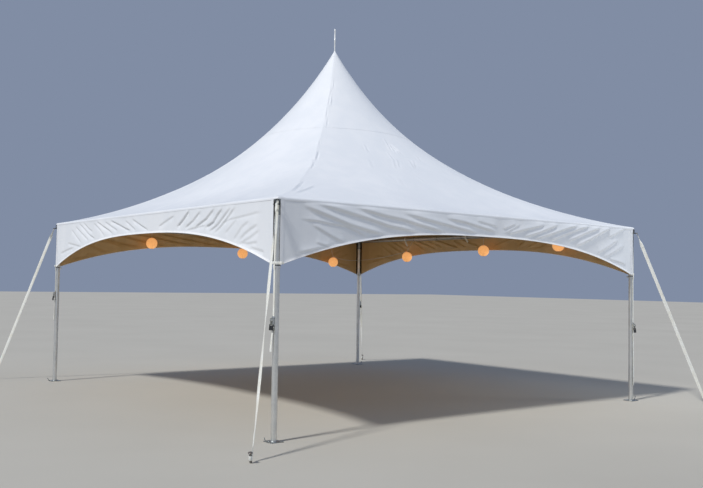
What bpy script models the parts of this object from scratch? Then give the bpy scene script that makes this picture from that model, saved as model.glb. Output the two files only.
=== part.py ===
"""Square peaked frame tent with a floating mast, guys, leg tensioners and lanterns.

Metres, +Z up, origin on the ground under the mast. The front side faces -Y.
"""
from math import atan2, cos, exp, pi, radians, sin, sqrt

import bmesh
import bpy
from mathutils import Matrix, Vector

# Plan and heights
TENT_WIDTH = 6.096
EAVE_HEIGHT = 2.458
PEAK_RISE = 2.646
EAVE_OVERHANG = 0.038

# Hip line: one share falls off exponentially, the rest as a power of the distance to the eave
HIP_SHARE = 0.656
HIP_DECAY = 3.476
HIP_POWER = 1.266
FLATTENING_POWER = 1.3

# Canopy
ROOF_DEPTH = 0.005
ROOF_STEPS = 20
ROOF_SPANS = 16
ROOF_STEP_POWER = 1.35
PEAK_OPENING_RADIUS = 0.046
VALANCE_THICKNESS = 0.002
VALANCE_CORNER_DROP = 0.688
VALANCE_CROWN_DROP = 0.268
VALANCE_ARCH_POWER = 2.6
VALANCE_END_SETBACK = 0.012
VALANCE_CROWN_LENGTH = 2.600
VALANCE_STEPS = 48

# Tubes, sleeves and base plates
TUBE_RADIUS = 0.03175
TUBE_WALL = 0.0032
SPIGOT_LENGTH = 0.110
SLEEVE_LENGTH = 0.125
CORNER_STUB_LENGTH = 0.150
HUB_WALL = 0.004
HUB_CROWN = 0.025
HUB_SKIRT = 0.041
ARM_ROOT = 0.010
COLLAR_HEIGHT = 0.030
COLLAR_WALL = 0.006
COLLAR_DROP = 0.003
PLATE_SIDE = 0.150
PLATE_THICKNESS = 0.008
HOOK_RADIUS = 0.005
HOOK_REACH = 0.112
HOOK_HEIGHT = 0.058
HOOK_STEPS = 5

# Floating mast, its cables and the peak
MAST_FOOT_DROP = 0.168
MAST_FOOT_RADIUS = 0.052
MAST_FOOT_DEPTH = 0.040
MAST_HEAD_RADIUS = 0.082
MAST_HEAD_TIP_RADIUS = 0.016
MAST_HEAD_DEPTH = 0.030
MAST_HEAD_PLATE = 0.010
CABLE_RADIUS = 0.005
SWAGE_RADIUS = 0.008
SWAGE_LENGTH = 0.070
BOSS_RADIUS = 0.012
BOSS_LENGTH = 0.016
BOSS_ROOM = 0.003
FINIAL_RADIUS = 0.0115
FINIAL_BASE_RADIUS = 0.009
FINIAL_TIP_RADIUS = 0.007
FINIAL_TIP_LENGTH = 0.020
FINIAL_RISE = 0.330
CAP_LAP = 0.008
CAP_THICKNESS = 0.003
CAP_COLLAR = 0.010
CAP_LIFT = 0.002

# Guys and stakes
GUY_REACH = 1.040
GUY_WIDTH = 0.045
GUY_THICKNESS = 0.0024
GUY_SEWN_LENGTH = 0.200
GUY_SEWN_GAP = 0.0008
GUY_EYE_LENGTH = 0.075
GUY_EYE_HEIGHT = 0.052
GUY_TURN_SHARE = 0.55
BAIL_REACH = 0.050
BAIL_DROP = 0.050
BAIL_ROD_RADIUS = 0.005
BAIL_SIDE_ROOM = 0.013
BAIL_BEND = 0.016
BAIL_ROOT_SPREAD = 0.018
STAKE_RADIUS = 0.0125
STAKE_HEAD_RADIUS = 0.021
STAKE_HEAD_HEIGHT = 0.012
STAKE_HEAD_BEVEL = 0.004
STAKE_LENGTH = 0.105
STAKE_LEAN = radians(18)

# Leg tensioners
STRAP_WIDTH = 0.025
STRAP_THICKNESS = 0.0016
STRAP_EASE = 0.024
TAIL_FLARE = 0.022
RATCHET_LENGTH = 0.105
RATCHET_WIDTH = 0.038
RATCHET_PLATE = 0.003
RATCHET_CHEEK_DEPTH = 0.025
RATCHET_CHEEK_LENGTH = 0.075
RATCHET_BARREL_RADIUS = 0.010
RATCHET_BARREL_OVERHANG = 0.004
RATCHET_BARREL_RISE = 0.012
RATCHET_HANDLE_LENGTH = 0.085
RATCHET_HANDLE_DEPTH = 0.012
RATCHET_HANDLE_OVERHANG = 0.007
RATCHET_HANDLE_TILT = radians(-16)
RATCHET_HEIGHTS = {"front_left": 1.200, "front_right": 1.050, "back_left": 1.340, "back_right": 1.200}
TAIL_ENDS = {"front_left": 0.900, "front_right": 0.220, "back_left": 0.950, "back_right": 0.900}
STRAP_TURN = radians(37)
STRAP_TURN_STEPS = 12
STRAP_HANDS = {"front_left": -1, "front_right": -1, "back_left": 1, "back_right": -1}

# Lanterns: place along the side, then how far the centre hangs below the eave
LANTERN_RADIUS = 0.095
LANTERN_INSET = 0.110
BACK_LANTERNS = ((-1.524, 0.258), (0.247, 0.366), (2.292, 0.465))
RIGHT_LANTERNS = ((1.493, 0.365), (-0.374, 0.288), (-1.894, 0.236))
LEAD_RADIUS = 0.003
DROP_RADIUS = 0.0024
LEAD_START_INSET = 0.190
SWAG_LEG_DROP = 0.408
SWAG_SAG = 0.030
SWAG_RISE = 0.014

GAP = 0.0003
ROUND_STEPS = 24
SLIM_STEPS = 12
HALF = TENT_WIDTH / 2
EDGE = HALF + EAVE_OVERHANG
BORE_RADIUS = TUBE_RADIUS - TUBE_WALL
SPIGOT_RADIUS = BORE_RADIUS - GAP
VALANCE_END = HALF - VALANCE_END_SETBACK
VALANCE_CORNER_HEIGHT = EAVE_HEIGHT - VALANCE_CORNER_DROP
COLLAR_UNDERSIDE = VALANCE_CORNER_HEIGHT - COLLAR_DROP - COLLAR_HEIGHT
MAST_FOOT_HEIGHT = EAVE_HEIGHT - MAST_FOOT_DROP
CORNERS = {"front_left": (-1, -1), "front_right": (1, -1), "back_left": (-1, 1), "back_right": (1, 1)}
SIDES = {"front": -pi / 2, "right": 0.0, "back": pi / 2, "left": pi}
VALANCE_LENGTHS = {"front": ("left", "crown", "right"), "left": ("back", "crown", "front")}


def hip_height(reach):
    """Height of the hip line, where reach is 0 at the mast and 1 at the eave's corner."""
    decay = (exp(-HIP_DECAY * reach) - exp(-HIP_DECAY)) / (1 - exp(-HIP_DECAY))
    power = (1 - min(reach, 1.0)) ** HIP_POWER
    return EAVE_HEIGHT + PEAK_RISE * (HIP_SHARE * decay + (1 - HIP_SHARE) * power)


def hip_reach(radius):
    return radius / (EDGE * sqrt(2))


def roof_point(reach, across):
    """A level line of the roof is round at the mast and straight at the eave."""
    middle = reach * (1 + (sqrt(2) - 1) * (1 - reach) ** FLATTENING_POWER)
    out = reach + (middle - reach) * (1 - across * across)
    return Vector((EDGE * out, EDGE * reach * across, hip_height(reach)))


def roof_reaches():
    first = hip_reach(PEAK_OPENING_RADIUS)
    over_rail = HALF / EDGE
    shares = [(i / ROOF_STEPS) ** ROOF_STEP_POWER for i in range(ROOF_STEPS + 1)]
    return [first + (over_rail - first) * share for share in shares] + [1.0]


def rail_height():
    """Height at which a round rail just clears the underside of the sloping roof."""
    above, over_rail = roof_reaches()[-3:-1]
    slope = (hip_height(above) - hip_height(over_rail)) / (EDGE * (over_rail - above))
    return hip_height(over_rail) - ROOF_DEPTH - (GAP + TUBE_RADIUS) * sqrt(1 + slope * slope)


RAIL_HEIGHT = rail_height()
BAIL = Vector((TUBE_RADIUS + BAIL_REACH, 0, RAIL_HEIGHT - BAIL_DROP))
CABLE_CORNER = Vector((HALF * sqrt(2) - (TUBE_RADIUS + BOSS_RADIUS + BOSS_ROOM) * sqrt(2), 0, RAIL_HEIGHT))
CABLE_FOOT = Vector((MAST_FOOT_RADIUS + BOSS_LENGTH, 0, MAST_FOOT_HEIGHT))


def clear_scene():
    for item in list(bpy.data.objects):
        bpy.data.objects.remove(item, do_unlink=True)


def new_collection(name):
    made = bpy.data.collections.new(name)
    bpy.context.scene.collection.children.link(made)
    return made


clear_scene()
TENT = new_collection("marquee_tent")
CUTTERS = new_collection("cutters")


def material(name, colour, roughness, metallic=0.0):
    made = bpy.data.materials.new(name)
    made.use_nodes = True
    shader = made.node_tree.nodes["Principled BSDF"]
    shader.inputs["Base Color"].default_value = (*colour, 1.0)
    shader.inputs["Roughness"].default_value = roughness
    shader.inputs["Metallic"].default_value = metallic
    return made


VINYL = material("vinyl", (0.82, 0.85, 0.88), 0.45)
ALUMINIUM = material("aluminium", (0.66, 0.68, 0.69), 0.35, 1.0)
CAST = material("cast_fitting", (0.55, 0.57, 0.58), 0.45, 1.0)
GALVANISED = material("galvanised_steel", (0.50, 0.52, 0.53), 0.50, 1.0)
WEBBING = material("webbing", (0.80, 0.80, 0.76), 0.80)
BLACK = material("black_ratchet", (0.02, 0.02, 0.022), 0.45)
PAPER = material("orange_paper", (0.90, 0.42, 0.12), 0.75)
LEAD = material("white_lead", (0.78, 0.78, 0.74), 0.50)


def place(name, mesh, finish, where=None):
    made = bpy.data.objects.new(name, mesh)
    mesh.materials.append(finish)
    TENT.objects.link(made)
    if where is not None:
        made.matrix_world = where
    return made


def place_bmesh(name, bm, finish, where=None):
    mesh = bpy.data.meshes.new(name)
    bmesh.ops.recalc_face_normals(bm, faces=bm.faces)
    bm.to_mesh(mesh)
    bm.free()
    mesh.shade_smooth()
    mesh.set_sharp_from_angle(angle=radians(30))
    return place(name, mesh, finish, where)


def box(name, size, centre, finish, where=None):
    bm = bmesh.new()
    bmesh.ops.create_cube(bm, size=1.0)
    bmesh.ops.scale(bm, verts=bm.verts, vec=size)
    bmesh.ops.translate(bm, verts=bm.verts, vec=centre)
    return place_bmesh(name, bm, finish, where)


def turned(name, profile, finish, where=None, closed=False, steps=ROUND_STEPS):
    """A profile of (radius, height) points that climbs the outer side, turned about local Z."""
    count = len(profile)
    edges = [(i, (i + 1) % count) for i in range(count if closed else count - 1)]
    mesh = bpy.data.meshes.new(name)
    mesh.from_pydata([(radius, 0, height) for radius, height in profile], edges, [])
    made = place(name, mesh, finish, where)
    screw = made.modifiers.new("turned", "SCREW")
    screw.steps = steps
    screw.render_steps = steps
    screw.use_merge_vertices = True
    screw.merge_threshold = 0.0001
    screw.use_normal_flip = True
    return made


def rod(name, low, high, radius, finish, where=None):
    return turned(name, [(0, low), (radius, low), (radius, high), (0, high)], finish, where)


def along(start, end):
    """Frame at start whose Z axis points to end."""
    start = Vector(start)
    turn = (Vector(end) - start).to_track_quat("Z", "Y").to_matrix().to_4x4()
    return Matrix.Translation(start) @ turn


def bent_rod(name, points, radius, finish, where=None, resolution=2):
    path = bpy.data.curves.new(name, "CURVE")
    path.dimensions = "3D"
    path.bevel_depth = radius
    path.bevel_resolution = resolution
    path.use_fill_caps = True
    line = path.splines.new("POLY")
    line.points.add(len(points) - 1)
    for spot, point in zip(line.points, points):
        spot.co = (*point, 1.0)
    drawn = bpy.data.objects.new(name + "_path", path)
    bm = bmesh.new()
    bm.from_mesh(bpy.data.meshes.new_from_object(drawn))
    bpy.data.objects.remove(drawn, do_unlink=True)
    bmesh.ops.remove_doubles(bm, verts=bm.verts, dist=0.00001)
    return place_bmesh(name, bm, finish, where)


def combine(body, piece, operation="UNION"):
    """Join the piece to the body, or cut it away, and keep it as a hidden tool."""
    CUTTERS.objects.link(piece)
    TENT.objects.unlink(piece)
    piece.hide_render = True
    piece.display_type = "WIRE"
    step = body.modifiers.new(piece.name, "BOOLEAN")
    step.operation = operation
    step.solver = "EXACT"
    step.object = piece


def band(name, rows, thickness, finish, where=None):
    """A flat strap along rows of (middle point, half width as a vector)."""
    bm = bmesh.new()
    edges = [(bm.verts.new(middle - half), bm.verts.new(middle + half)) for middle, half in rows]
    for (a, b), (c, d) in zip(edges, edges[1:]):
        bm.faces.new((a, b, d, c))
    mesh = bpy.data.meshes.new(name)
    bm.to_mesh(mesh)
    bm.free()
    made = place(name, mesh, finish, where)
    solid = made.modifiers.new("thickness", "SOLIDIFY")
    solid.thickness = thickness
    solid.offset = 0.0
    solid.use_even_offset = True
    return made


def sheet(name, rows, depth, finish, where):
    """A grid of points made solid by carrying a copy of it along the depth vector."""
    bm = bmesh.new()
    grid = [[bm.verts.new(point) for point in row] for row in rows]
    for upper, lower in zip(grid, grid[1:]):
        for j in range(len(upper) - 1):
            bm.faces.new((upper[j], lower[j], lower[j + 1], upper[j + 1]))
    copied = bmesh.ops.extrude_face_region(bm, geom=list(bm.faces), use_keep_orig=True)
    moved = [item for item in copied["geom"] if isinstance(item, bmesh.types.BMVert)]
    bmesh.ops.translate(bm, verts=moved, vec=depth)
    return place_bmesh(name, bm, finish, where)


def side_frame(side):
    return Matrix.Rotation(SIDES[side], 4, "Z")


def corner_turn(corner):
    sx, sy = CORNERS[corner]
    return Matrix.Rotation(atan2(sy, sx), 4, "Z")


def corner_place(corner):
    sx, sy = CORNERS[corner]
    return Matrix.Translation((sx * HALF, sy * HALF, 0))


def corner_frame(corner):
    """Frame on the leg's axis at the ground, with X pointing out along the diagonal."""
    return corner_place(corner) @ corner_turn(corner)


def roof_panel(side):
    shares = [2 * j / ROOF_SPANS - 1 for j in range(ROOF_SPANS + 1)]
    rows = [[roof_point(reach, share) + Vector((GAP, 0, 0)) for share in shares] for reach in roof_reaches()]
    sheet(side + "_roof_panel", rows, (0, 0, -ROOF_DEPTH), VINYL, side_frame(side))


def arch_drop(place):
    """How far the valance's arched edge hangs below the eave, at a place along the side."""
    share = abs(place) / VALANCE_END
    return VALANCE_CROWN_DROP + (VALANCE_CORNER_DROP - VALANCE_CROWN_DROP) * share ** VALANCE_ARCH_POWER


def valance_length(name, side, start, end):
    top = EAVE_HEIGHT - ROOF_DEPTH - GAP
    steps = max(1, round(VALANCE_STEPS * (end - start) / (2 * VALANCE_END)))
    upper, lower = [], []
    for i in range(steps + 1):
        place = start + (end - start) * i / steps
        upper.append(Vector((EDGE, place, top)))
        lower.append(Vector((EDGE, place, EAVE_HEIGHT - arch_drop(place))))
    sheet(name, [upper, lower], (-VALANCE_THICKNESS, 0, 0), VINYL, side_frame(side))


def valance(side):
    """One length on the sides with lanterns, and three lengths, end to end, on the open sides."""
    if side not in VALANCE_LENGTHS:
        valance_length(side + "_valance", side, -VALANCE_END, VALANCE_END)
        return
    seam = VALANCE_CROWN_LENGTH / 2
    stretches = ((-VALANCE_END, -seam - GAP), (-seam, seam), (seam + GAP, VALANCE_END))
    for label, (start, end) in zip(VALANCE_LENGTHS[side], stretches):
        valance_length(f"{side}_valance_{label}", side, start, end)


def eave_rail(side):
    reach = HALF - SLEEVE_LENGTH - GAP
    ring = [(BORE_RADIUS, -reach), (TUBE_RADIUS, -reach), (TUBE_RADIUS, reach), (BORE_RADIUS, reach)]
    lying = along((HALF, 0, RAIL_HEIGHT), (HALF, 1, RAIL_HEIGHT))
    turned(side + "_eave_rail", ring, ALUMINIUM, side_frame(side) @ lying, closed=True)


def leg(corner):
    foot = PLATE_THICKNESS + GAP
    top = RAIL_HEIGHT - CORNER_STUB_LENGTH - GAP
    collar_radius = TUBE_RADIUS + COLLAR_WALL
    collar_top = COLLAR_UNDERSIDE + COLLAR_HEIGHT
    profile = [(BORE_RADIUS, foot), (TUBE_RADIUS, foot), (TUBE_RADIUS, COLLAR_UNDERSIDE)]
    profile += [(collar_radius, COLLAR_UNDERSIDE), (collar_radius, collar_top)]
    profile += [(TUBE_RADIUS, collar_top), (TUBE_RADIUS, top), (BORE_RADIUS, top)]
    turned(corner + "_leg", profile, ALUMINIUM, corner_frame(corner), closed=True)


def base_plate(corner):
    name = corner + "_base_plate"
    where = corner_place(corner)
    size = (PLATE_SIDE, PLATE_SIDE, PLATE_THICKNESS)
    middle = PLATE_THICKNESS / 2
    plate = box(name, size, (0, 0, middle), GALVANISED, where)
    combine(plate, rod(name + "_spigot", middle, SPIGOT_LENGTH, SPIGOT_RADIUS, GALVANISED, where))
    outward = CORNERS[corner][0]
    start = PLATE_SIDE / 2 - 4 * HOOK_RADIUS
    turns = [pi / 2 * i / HOOK_STEPS for i in range(HOOK_STEPS + 1)]
    line = [(start + (HOOK_REACH - start) * sin(turn), 1 - cos(turn)) for turn in turns]
    rise = HOOK_HEIGHT - PLATE_THICKNESS
    points = [(outward * x, 0, PLATE_THICKNESS + rise * share) for x, share in line]
    combine(plate, bent_rod(name + "_hook", points, HOOK_RADIUS, GALVANISED, where))


def bail_points():
    """A bent bar that stands out from the hub with a straight run as wide as the guy."""
    half = GUY_WIDTH / 2 + BAIL_SIDE_ROOM
    root = TUBE_RADIUS / 2
    outer = [(root, BAIL_ROOT_SPREAD), (BAIL.x - BAIL_BEND, half), (BAIL.x, half - BAIL_ROD_RADIUS)]
    left = [(x, -y, BAIL.z) for x, y in outer]
    right = [(x, y, BAIL.z) for x, y in reversed(outer)]
    return left + right


def corner_fitting(corner):
    name = corner + "_corner_fitting"
    where = corner_frame(corner)
    low = RAIL_HEIGHT - CORNER_STUB_LENGTH
    skirt = RAIL_HEIGHT - HUB_SKIRT
    hub = TUBE_RADIUS + HUB_WALL
    post = [(0, low - SPIGOT_LENGTH), (SPIGOT_RADIUS, low - SPIGOT_LENGTH), (SPIGOT_RADIUS, low)]
    post += [(TUBE_RADIUS, low), (TUBE_RADIUS, skirt), (hub, skirt + HUB_WALL)]
    post += [(hub, RAIL_HEIGHT + HUB_CROWN), (0, RAIL_HEIGHT + HUB_CROWN)]
    body = turned(name, post, CAST, where)
    centre = Vector((0, 0, RAIL_HEIGHT))
    reach = SLEEVE_LENGTH + SPIGOT_LENGTH
    arm = [(0, ARM_ROOT), (TUBE_RADIUS, ARM_ROOT), (TUBE_RADIUS, SLEEVE_LENGTH)]
    arm += [(SPIGOT_RADIUS, SLEEVE_LENGTH), (SPIGOT_RADIUS, reach), (0, reach)]
    for label, angle in (("a", radians(135)), ("b", radians(-135))):
        lying = along(centre, centre + Vector((cos(angle), sin(angle), 0)))
        combine(body, turned(name + "_arm_" + label, arm, CAST, where @ lying, steps=ROUND_STEPS - 2))
    from_leg = Vector((HALF * sqrt(2), 0, 0))
    inward = along(CABLE_CORNER - from_leg, 2 * CABLE_CORNER - CABLE_FOOT - from_leg)
    combine(body, rod(name + "_boss", 0, SLEEVE_LENGTH / 2, BOSS_RADIUS, CAST, where @ inward))
    combine(body, bent_rod(name + "_bail", bail_points(), BAIL_ROD_RADIUS, CAST, where, resolution=3))


def mast_cable(corner):
    low = GAP
    high = (CABLE_CORNER - CABLE_FOOT).length - GAP
    profile = [(0, low), (SWAGE_RADIUS, low), (SWAGE_RADIUS, low + SWAGE_LENGTH)]
    profile += [(CABLE_RADIUS, low + SWAGE_LENGTH), (CABLE_RADIUS, high - SWAGE_LENGTH)]
    profile += [(SWAGE_RADIUS, high - SWAGE_LENGTH), (SWAGE_RADIUS, high), (0, high)]
    where = corner_turn(corner) @ along(CABLE_FOOT, CABLE_CORNER)
    turned(corner + "_mast_cable", profile, GALVANISED, where, steps=SLIM_STEPS)


def mast_foot():
    low = MAST_FOOT_HEIGHT - MAST_FOOT_DEPTH / 2
    high = MAST_FOOT_HEIGHT + MAST_FOOT_DEPTH / 2
    hub = [(0, low), (MAST_FOOT_RADIUS, low), (MAST_FOOT_RADIUS, high), (SPIGOT_RADIUS, high)]
    hub += [(SPIGOT_RADIUS, high + SPIGOT_LENGTH), (0, high + SPIGOT_LENGTH)]
    body = turned("mast_foot", hub, CAST)
    length = BOSS_LENGTH + MAST_FOOT_RADIUS / 2
    root = CABLE_FOOT - (CABLE_CORNER - CABLE_FOOT).normalized() * length
    for corner in CORNERS:
        where = corner_turn(corner) @ along(root, CABLE_FOOT)
        combine(body, rod("mast_foot_boss_" + corner, 0, length, BOSS_RADIUS, CAST, where))


def head_rim():
    """Points up the mast's head, just under the steep top of the canopy."""
    steps = 6
    spread = MAST_HEAD_RADIUS - MAST_HEAD_TIP_RADIUS
    radii = [MAST_HEAD_RADIUS - spread * i / steps for i in range(steps + 1)]
    return [(radius, hip_height(hip_reach(radius)) - ROOF_DEPTH - 4 * GAP) for radius in radii]


def mast():
    foot = MAST_FOOT_HEIGHT + MAST_FOOT_DEPTH / 2 + GAP
    rim = head_rim()
    under = rim[0][1] - MAST_HEAD_DEPTH
    bore_end = under + MAST_HEAD_PLATE
    profile = [(BORE_RADIUS, foot), (TUBE_RADIUS, foot), (TUBE_RADIUS, under), (MAST_HEAD_RADIUS, under)]
    profile += rim + [(0, rim[-1][1]), (0, bore_end), (BORE_RADIUS, bore_end), (BORE_RADIUS, foot)]
    turned("mast", profile, ALUMINIUM)


def peak_cap():
    rim = PEAK_OPENING_RADIUS + CAP_LAP
    low = hip_height(hip_reach(rim)) + CAP_LIFT
    bore = FINIAL_RADIUS + GAP
    high = hip_height(hip_reach(bore)) + CAP_LIFT
    profile = [(bore, high), (rim, low), (rim, low + CAP_THICKNESS)]
    profile += [(bore + CAP_THICKNESS, high + CAP_COLLAR), (bore, high + CAP_COLLAR)]
    turned("peak_cap", profile, VINYL, closed=True)


def finial():
    low = head_rim()[-1][1] + GAP
    tip = hip_height(0) + FINIAL_RISE
    profile = [(0, low), (FINIAL_BASE_RADIUS, low), (FINIAL_RADIUS, tip - FINIAL_TIP_LENGTH)]
    profile += [(FINIAL_TIP_RADIUS, tip), (0, tip)]
    turned("finial", profile, ALUMINIUM, steps=SLIM_STEPS)


def stake_axis():
    return Vector((sin(STAKE_LEAN), 0, cos(STAKE_LEAN)))


def stake(corner):
    name = corner + "_stake"
    where = corner_frame(corner)
    base = Vector((GUY_REACH, 0, 0))
    below = -4 * STAKE_RADIUS
    neck = STAKE_LENGTH - STAKE_HEAD_HEIGHT
    profile = [(0, below), (STAKE_RADIUS, below), (STAKE_RADIUS, neck)]
    profile += [(STAKE_HEAD_RADIUS, neck + STAKE_HEAD_BEVEL)]
    profile += [(STAKE_HEAD_RADIUS, STAKE_LENGTH - STAKE_HEAD_BEVEL)]
    profile += [(STAKE_RADIUS, STAKE_LENGTH), (0, STAKE_LENGTH)]
    body = turned(name, profile, GALVANISED, where @ along(base, base + stake_axis()), steps=16)
    depth = 3 * STAKE_LENGTH
    ground = box(name + "_ground", (depth, depth, depth), (GUY_REACH, 0, -depth / 2), GALVANISED, where)
    combine(body, ground, "DIFFERENCE")


def eased(share):
    share = min(1.0, max(0.0, share))
    return share * share * (3 - 2 * share)


def guy_rows():
    """The strap loops round the stake, climbs with a quarter turn and loops over the bail."""
    across = Vector((0, 1, 0))
    half = GUY_WIDTH / 2
    axis = stake_axis()
    toward = Vector((-axis.z, 0, axis.x))
    eye = Vector((GUY_REACH, 0, 0)) + axis * GUY_EYE_HEIGHT
    low = eye + toward * GUY_EYE_LENGTH
    line = (BAIL - low).normalized()
    bail_loop = BAIL_ROD_RADIUS + GAP + GUY_THICKNESS / 2 + GAP / 3
    stake_loop = STAKE_RADIUS + GAP + GUY_THICKNESS / 2 + 2 * GAP
    high = BAIL - line * (bail_loop * 3)
    lift = (GUY_THICKNESS + GUY_SEWN_GAP) / 2
    steps = 18
    run = []
    for i in range(steps + 1):
        share = (i / steps) ** 1.5
        heading = toward.lerp(line, min(1.0, share * 6)).normalized()
        turn = eased(share / GUY_TURN_SHARE) * pi / 2
        upright = (axis - heading * axis.dot(heading)).normalized()
        flat = (upright * cos(turn) + across * sin(turn)).normalized()
        run.append((low.lerp(high, share), flat, heading.cross(flat).normalized()))
    near_stake = [row for row in run if (row[0] - low).length < GUY_SEWN_LENGTH]
    near_bail = [row for row in run if (row[0] - high).length < GUY_SEWN_LENGTH]
    rows = [(point - normal * lift, flat * half) for point, flat, normal in reversed(near_stake)]
    for i in range(11):
        angle = radians(30 + 300 * i / 10)
        spoke = toward * cos(angle) - run[0][1].cross(toward).normalized() * -sin(angle)
        rows.append((eye + spoke * stake_loop, axis * half))
    rows += [(point + normal * lift, flat * half) for point, flat, normal in run]
    for i in range(13):
        angle = radians(120 - 240 * i / 12)
        rows.append((BAIL + (line * cos(angle) + run[-1][2] * sin(angle)) * bail_loop, across * half))
    rows += [(point - normal * lift, flat * half) for point, flat, normal in reversed(near_bail)]
    return rows


def guy_strap(corner):
    band(corner + "_guy_strap", guy_rows(), GUY_THICKNESS, WEBBING, corner_frame(corner))


def strap_row(turn, radius, height):
    """Middle and half width of the leg strap at a turn round the leg."""
    half_width = Vector((-sin(turn), cos(turn), 0)) * STRAP_WIDTH / 2
    return Vector((radius * cos(turn), radius * sin(turn), height)), half_width


def leg_strap(corner):
    """From the canopy's corner round to one side of the leg, over the collar, then a free tail."""
    on_leg = TUBE_RADIUS + GAP + STRAP_THICKNESS / 2
    on_hub = on_leg + HUB_WALL
    on_collar = on_leg + COLLAR_WALL
    skirt = RAIL_HEIGHT - HUB_SKIRT - GAP
    collar_top = COLLAR_UNDERSIDE + COLLAR_HEIGHT + STRAP_THICKNESS
    collar_foot = COLLAR_UNDERSIDE - STRAP_THICKNESS
    free_from = RATCHET_HEIGHTS[corner] - RATCHET_LENGTH / 2
    turn_start = skirt - STRAP_EASE
    turn_end = collar_top + STRAP_EASE
    full = STRAP_HANDS[corner] * STRAP_TURN
    line = [(0, on_hub, EAVE_HEIGHT - ROOF_DEPTH - GAP), (0, on_hub, skirt), (0, on_leg, turn_start)]
    for i in range(1, STRAP_TURN_STEPS + 1):
        share = i / STRAP_TURN_STEPS
        lift = 3 * GAP * sin(pi * share)
        line.append((full * eased(share), on_leg + lift, turn_start + (turn_end - turn_start) * share))
    line += [(full, on_collar, collar_top), (full, on_collar, collar_foot)]
    line += [(full, on_leg, collar_foot - STRAP_EASE), (full, on_leg, free_from)]
    steps = 12
    for i in range(1, steps + 1):
        share = i / steps
        flare = TAIL_FLARE * share * share * (2 - share)
        line.append((full, on_leg + flare, free_from + (TAIL_ENDS[corner] - free_from) * share))
    rows = [strap_row(turn, radius, height) for turn, radius, height in line]
    band(corner + "_leg_strap", rows, STRAP_THICKNESS, WEBBING, corner_frame(corner))


def ratchet(corner):
    name = corner + "_ratchet"
    where = corner_frame(corner) @ Matrix.Rotation(STRAP_HANDS[corner] * STRAP_TURN, 4, "Z")
    middle = RATCHET_HEIGHTS[corner]
    seat = TUBE_RADIUS + STRAP_THICKNESS + 2 * GAP
    size = (RATCHET_PLATE, RATCHET_WIDTH, RATCHET_LENGTH)
    body = box(name, size, (seat + RATCHET_PLATE / 2, 0, middle), BLACK, where)
    cheek_size = (RATCHET_CHEEK_DEPTH, RATCHET_PLATE, RATCHET_CHEEK_LENGTH)
    cheek_side = (RATCHET_WIDTH - RATCHET_PLATE) / 2
    for label, y in (("a", cheek_side), ("b", -cheek_side)):
        centre = (seat + RATCHET_CHEEK_DEPTH / 2, y, middle)
        combine(body, box(name + "_cheek_" + label, cheek_size, centre, BLACK, where))
    length = RATCHET_WIDTH + 2 * RATCHET_BARREL_OVERHANG
    end = Vector((seat + RATCHET_CHEEK_DEPTH * 0.7, -length / 2, middle + RATCHET_BARREL_RISE))
    barrel = where @ along(end, end + Vector((0, 1, 0)))
    combine(body, rod(name + "_barrel", 0, length, RATCHET_BARREL_RADIUS, BLACK, barrel))
    hinge = Vector((seat + RATCHET_CHEEK_DEPTH, 0, middle - 2 * RATCHET_BARREL_RADIUS))
    tilt = Matrix.Translation(hinge) @ Matrix.Rotation(RATCHET_HANDLE_TILT, 4, "Y")
    size = (RATCHET_HANDLE_DEPTH, RATCHET_WIDTH + 2 * RATCHET_HANDLE_OVERHANG, RATCHET_HANDLE_LENGTH)
    combine(body, box(name + "_handle", size, (0, 0, 0), BLACK, where @ tilt))


def lantern_spots():
    """Node name, centre and the place on the rail above each lantern."""
    line = HALF - TUBE_RADIUS - LANTERN_INSET
    lead_height = RAIL_HEIGHT - TUBE_RADIUS - GAP - LEAD_RADIUS
    spots = []
    for i, (x, drop) in enumerate(BACK_LANTERNS):
        centre = Vector((x, line, EAVE_HEIGHT - drop))
        spots.append((f"back_lantern_{i + 1}", centre, Vector((x, HALF, lead_height))))
    for i, (y, drop) in enumerate(RIGHT_LANTERNS):
        centre = Vector((line, y, EAVE_HEIGHT - drop))
        spots.append((f"right_lantern_{i + 1}", centre, Vector((HALF, y, lead_height))))
    return spots


def lantern(name, centre):
    steps = 14
    turns = [pi * i / steps for i in range(steps + 1)]
    ball = [(LANTERN_RADIUS * sin(turn), -LANTERN_RADIUS * cos(turn)) for turn in turns]
    ball[-1] = (0, LANTERN_RADIUS)
    turned(name, ball, PAPER, Matrix.Translation(centre), steps=20)


def swag(start, end):
    """Points after start on a slack run of lead, down to its lowest and up to the end."""
    steps = 8
    shares = [i / steps for i in range(1, steps + 1)]
    return [start.lerp(end, share) - Vector((0, 0, 4 * SWAG_SAG * share * (1 - share))) for share in shares]


def lantern_lead():
    """Lies under both rails and swags past the inner side of the back right leg."""
    spots = lantern_spots()
    above = {}
    for name, centre, on_rail in spots:
        above[name] = Vector((centre.x, centre.y, on_rail.z))
    third, fourth = spots[2], spots[3]
    rise = Vector((0, 0, LANTERN_RADIUS + SWAG_RISE))
    leg_side = HALF - (TUBE_RADIUS + LEAD_RADIUS + GAP) / sqrt(2)
    at_leg = Vector((leg_side, leg_side, EAVE_HEIGHT - SWAG_LEG_DROP))
    start = Vector((-HALF + LEAD_START_INSET, HALF, third[2].z))
    run = [start, third[2], above[third[0]], third[1] + rise]
    run += swag(third[1] + rise, at_leg) + swag(at_leg, fourth[1] + rise)
    run += [above[fourth[0]], fourth[2], spots[-1][2]]
    body = bent_rod("lantern_lead", run, LEAD_RADIUS, LEAD)
    for name, centre, on_rail in spots:
        top = centre + Vector((0, 0, LANTERN_RADIUS + GAP))
        upper = [centre + rise] if name in (third[0], fourth[0]) else [on_rail, above[name]]
        combine(body, bent_rod(name + "_drop", upper + [top], DROP_RADIUS, LEAD))


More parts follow.
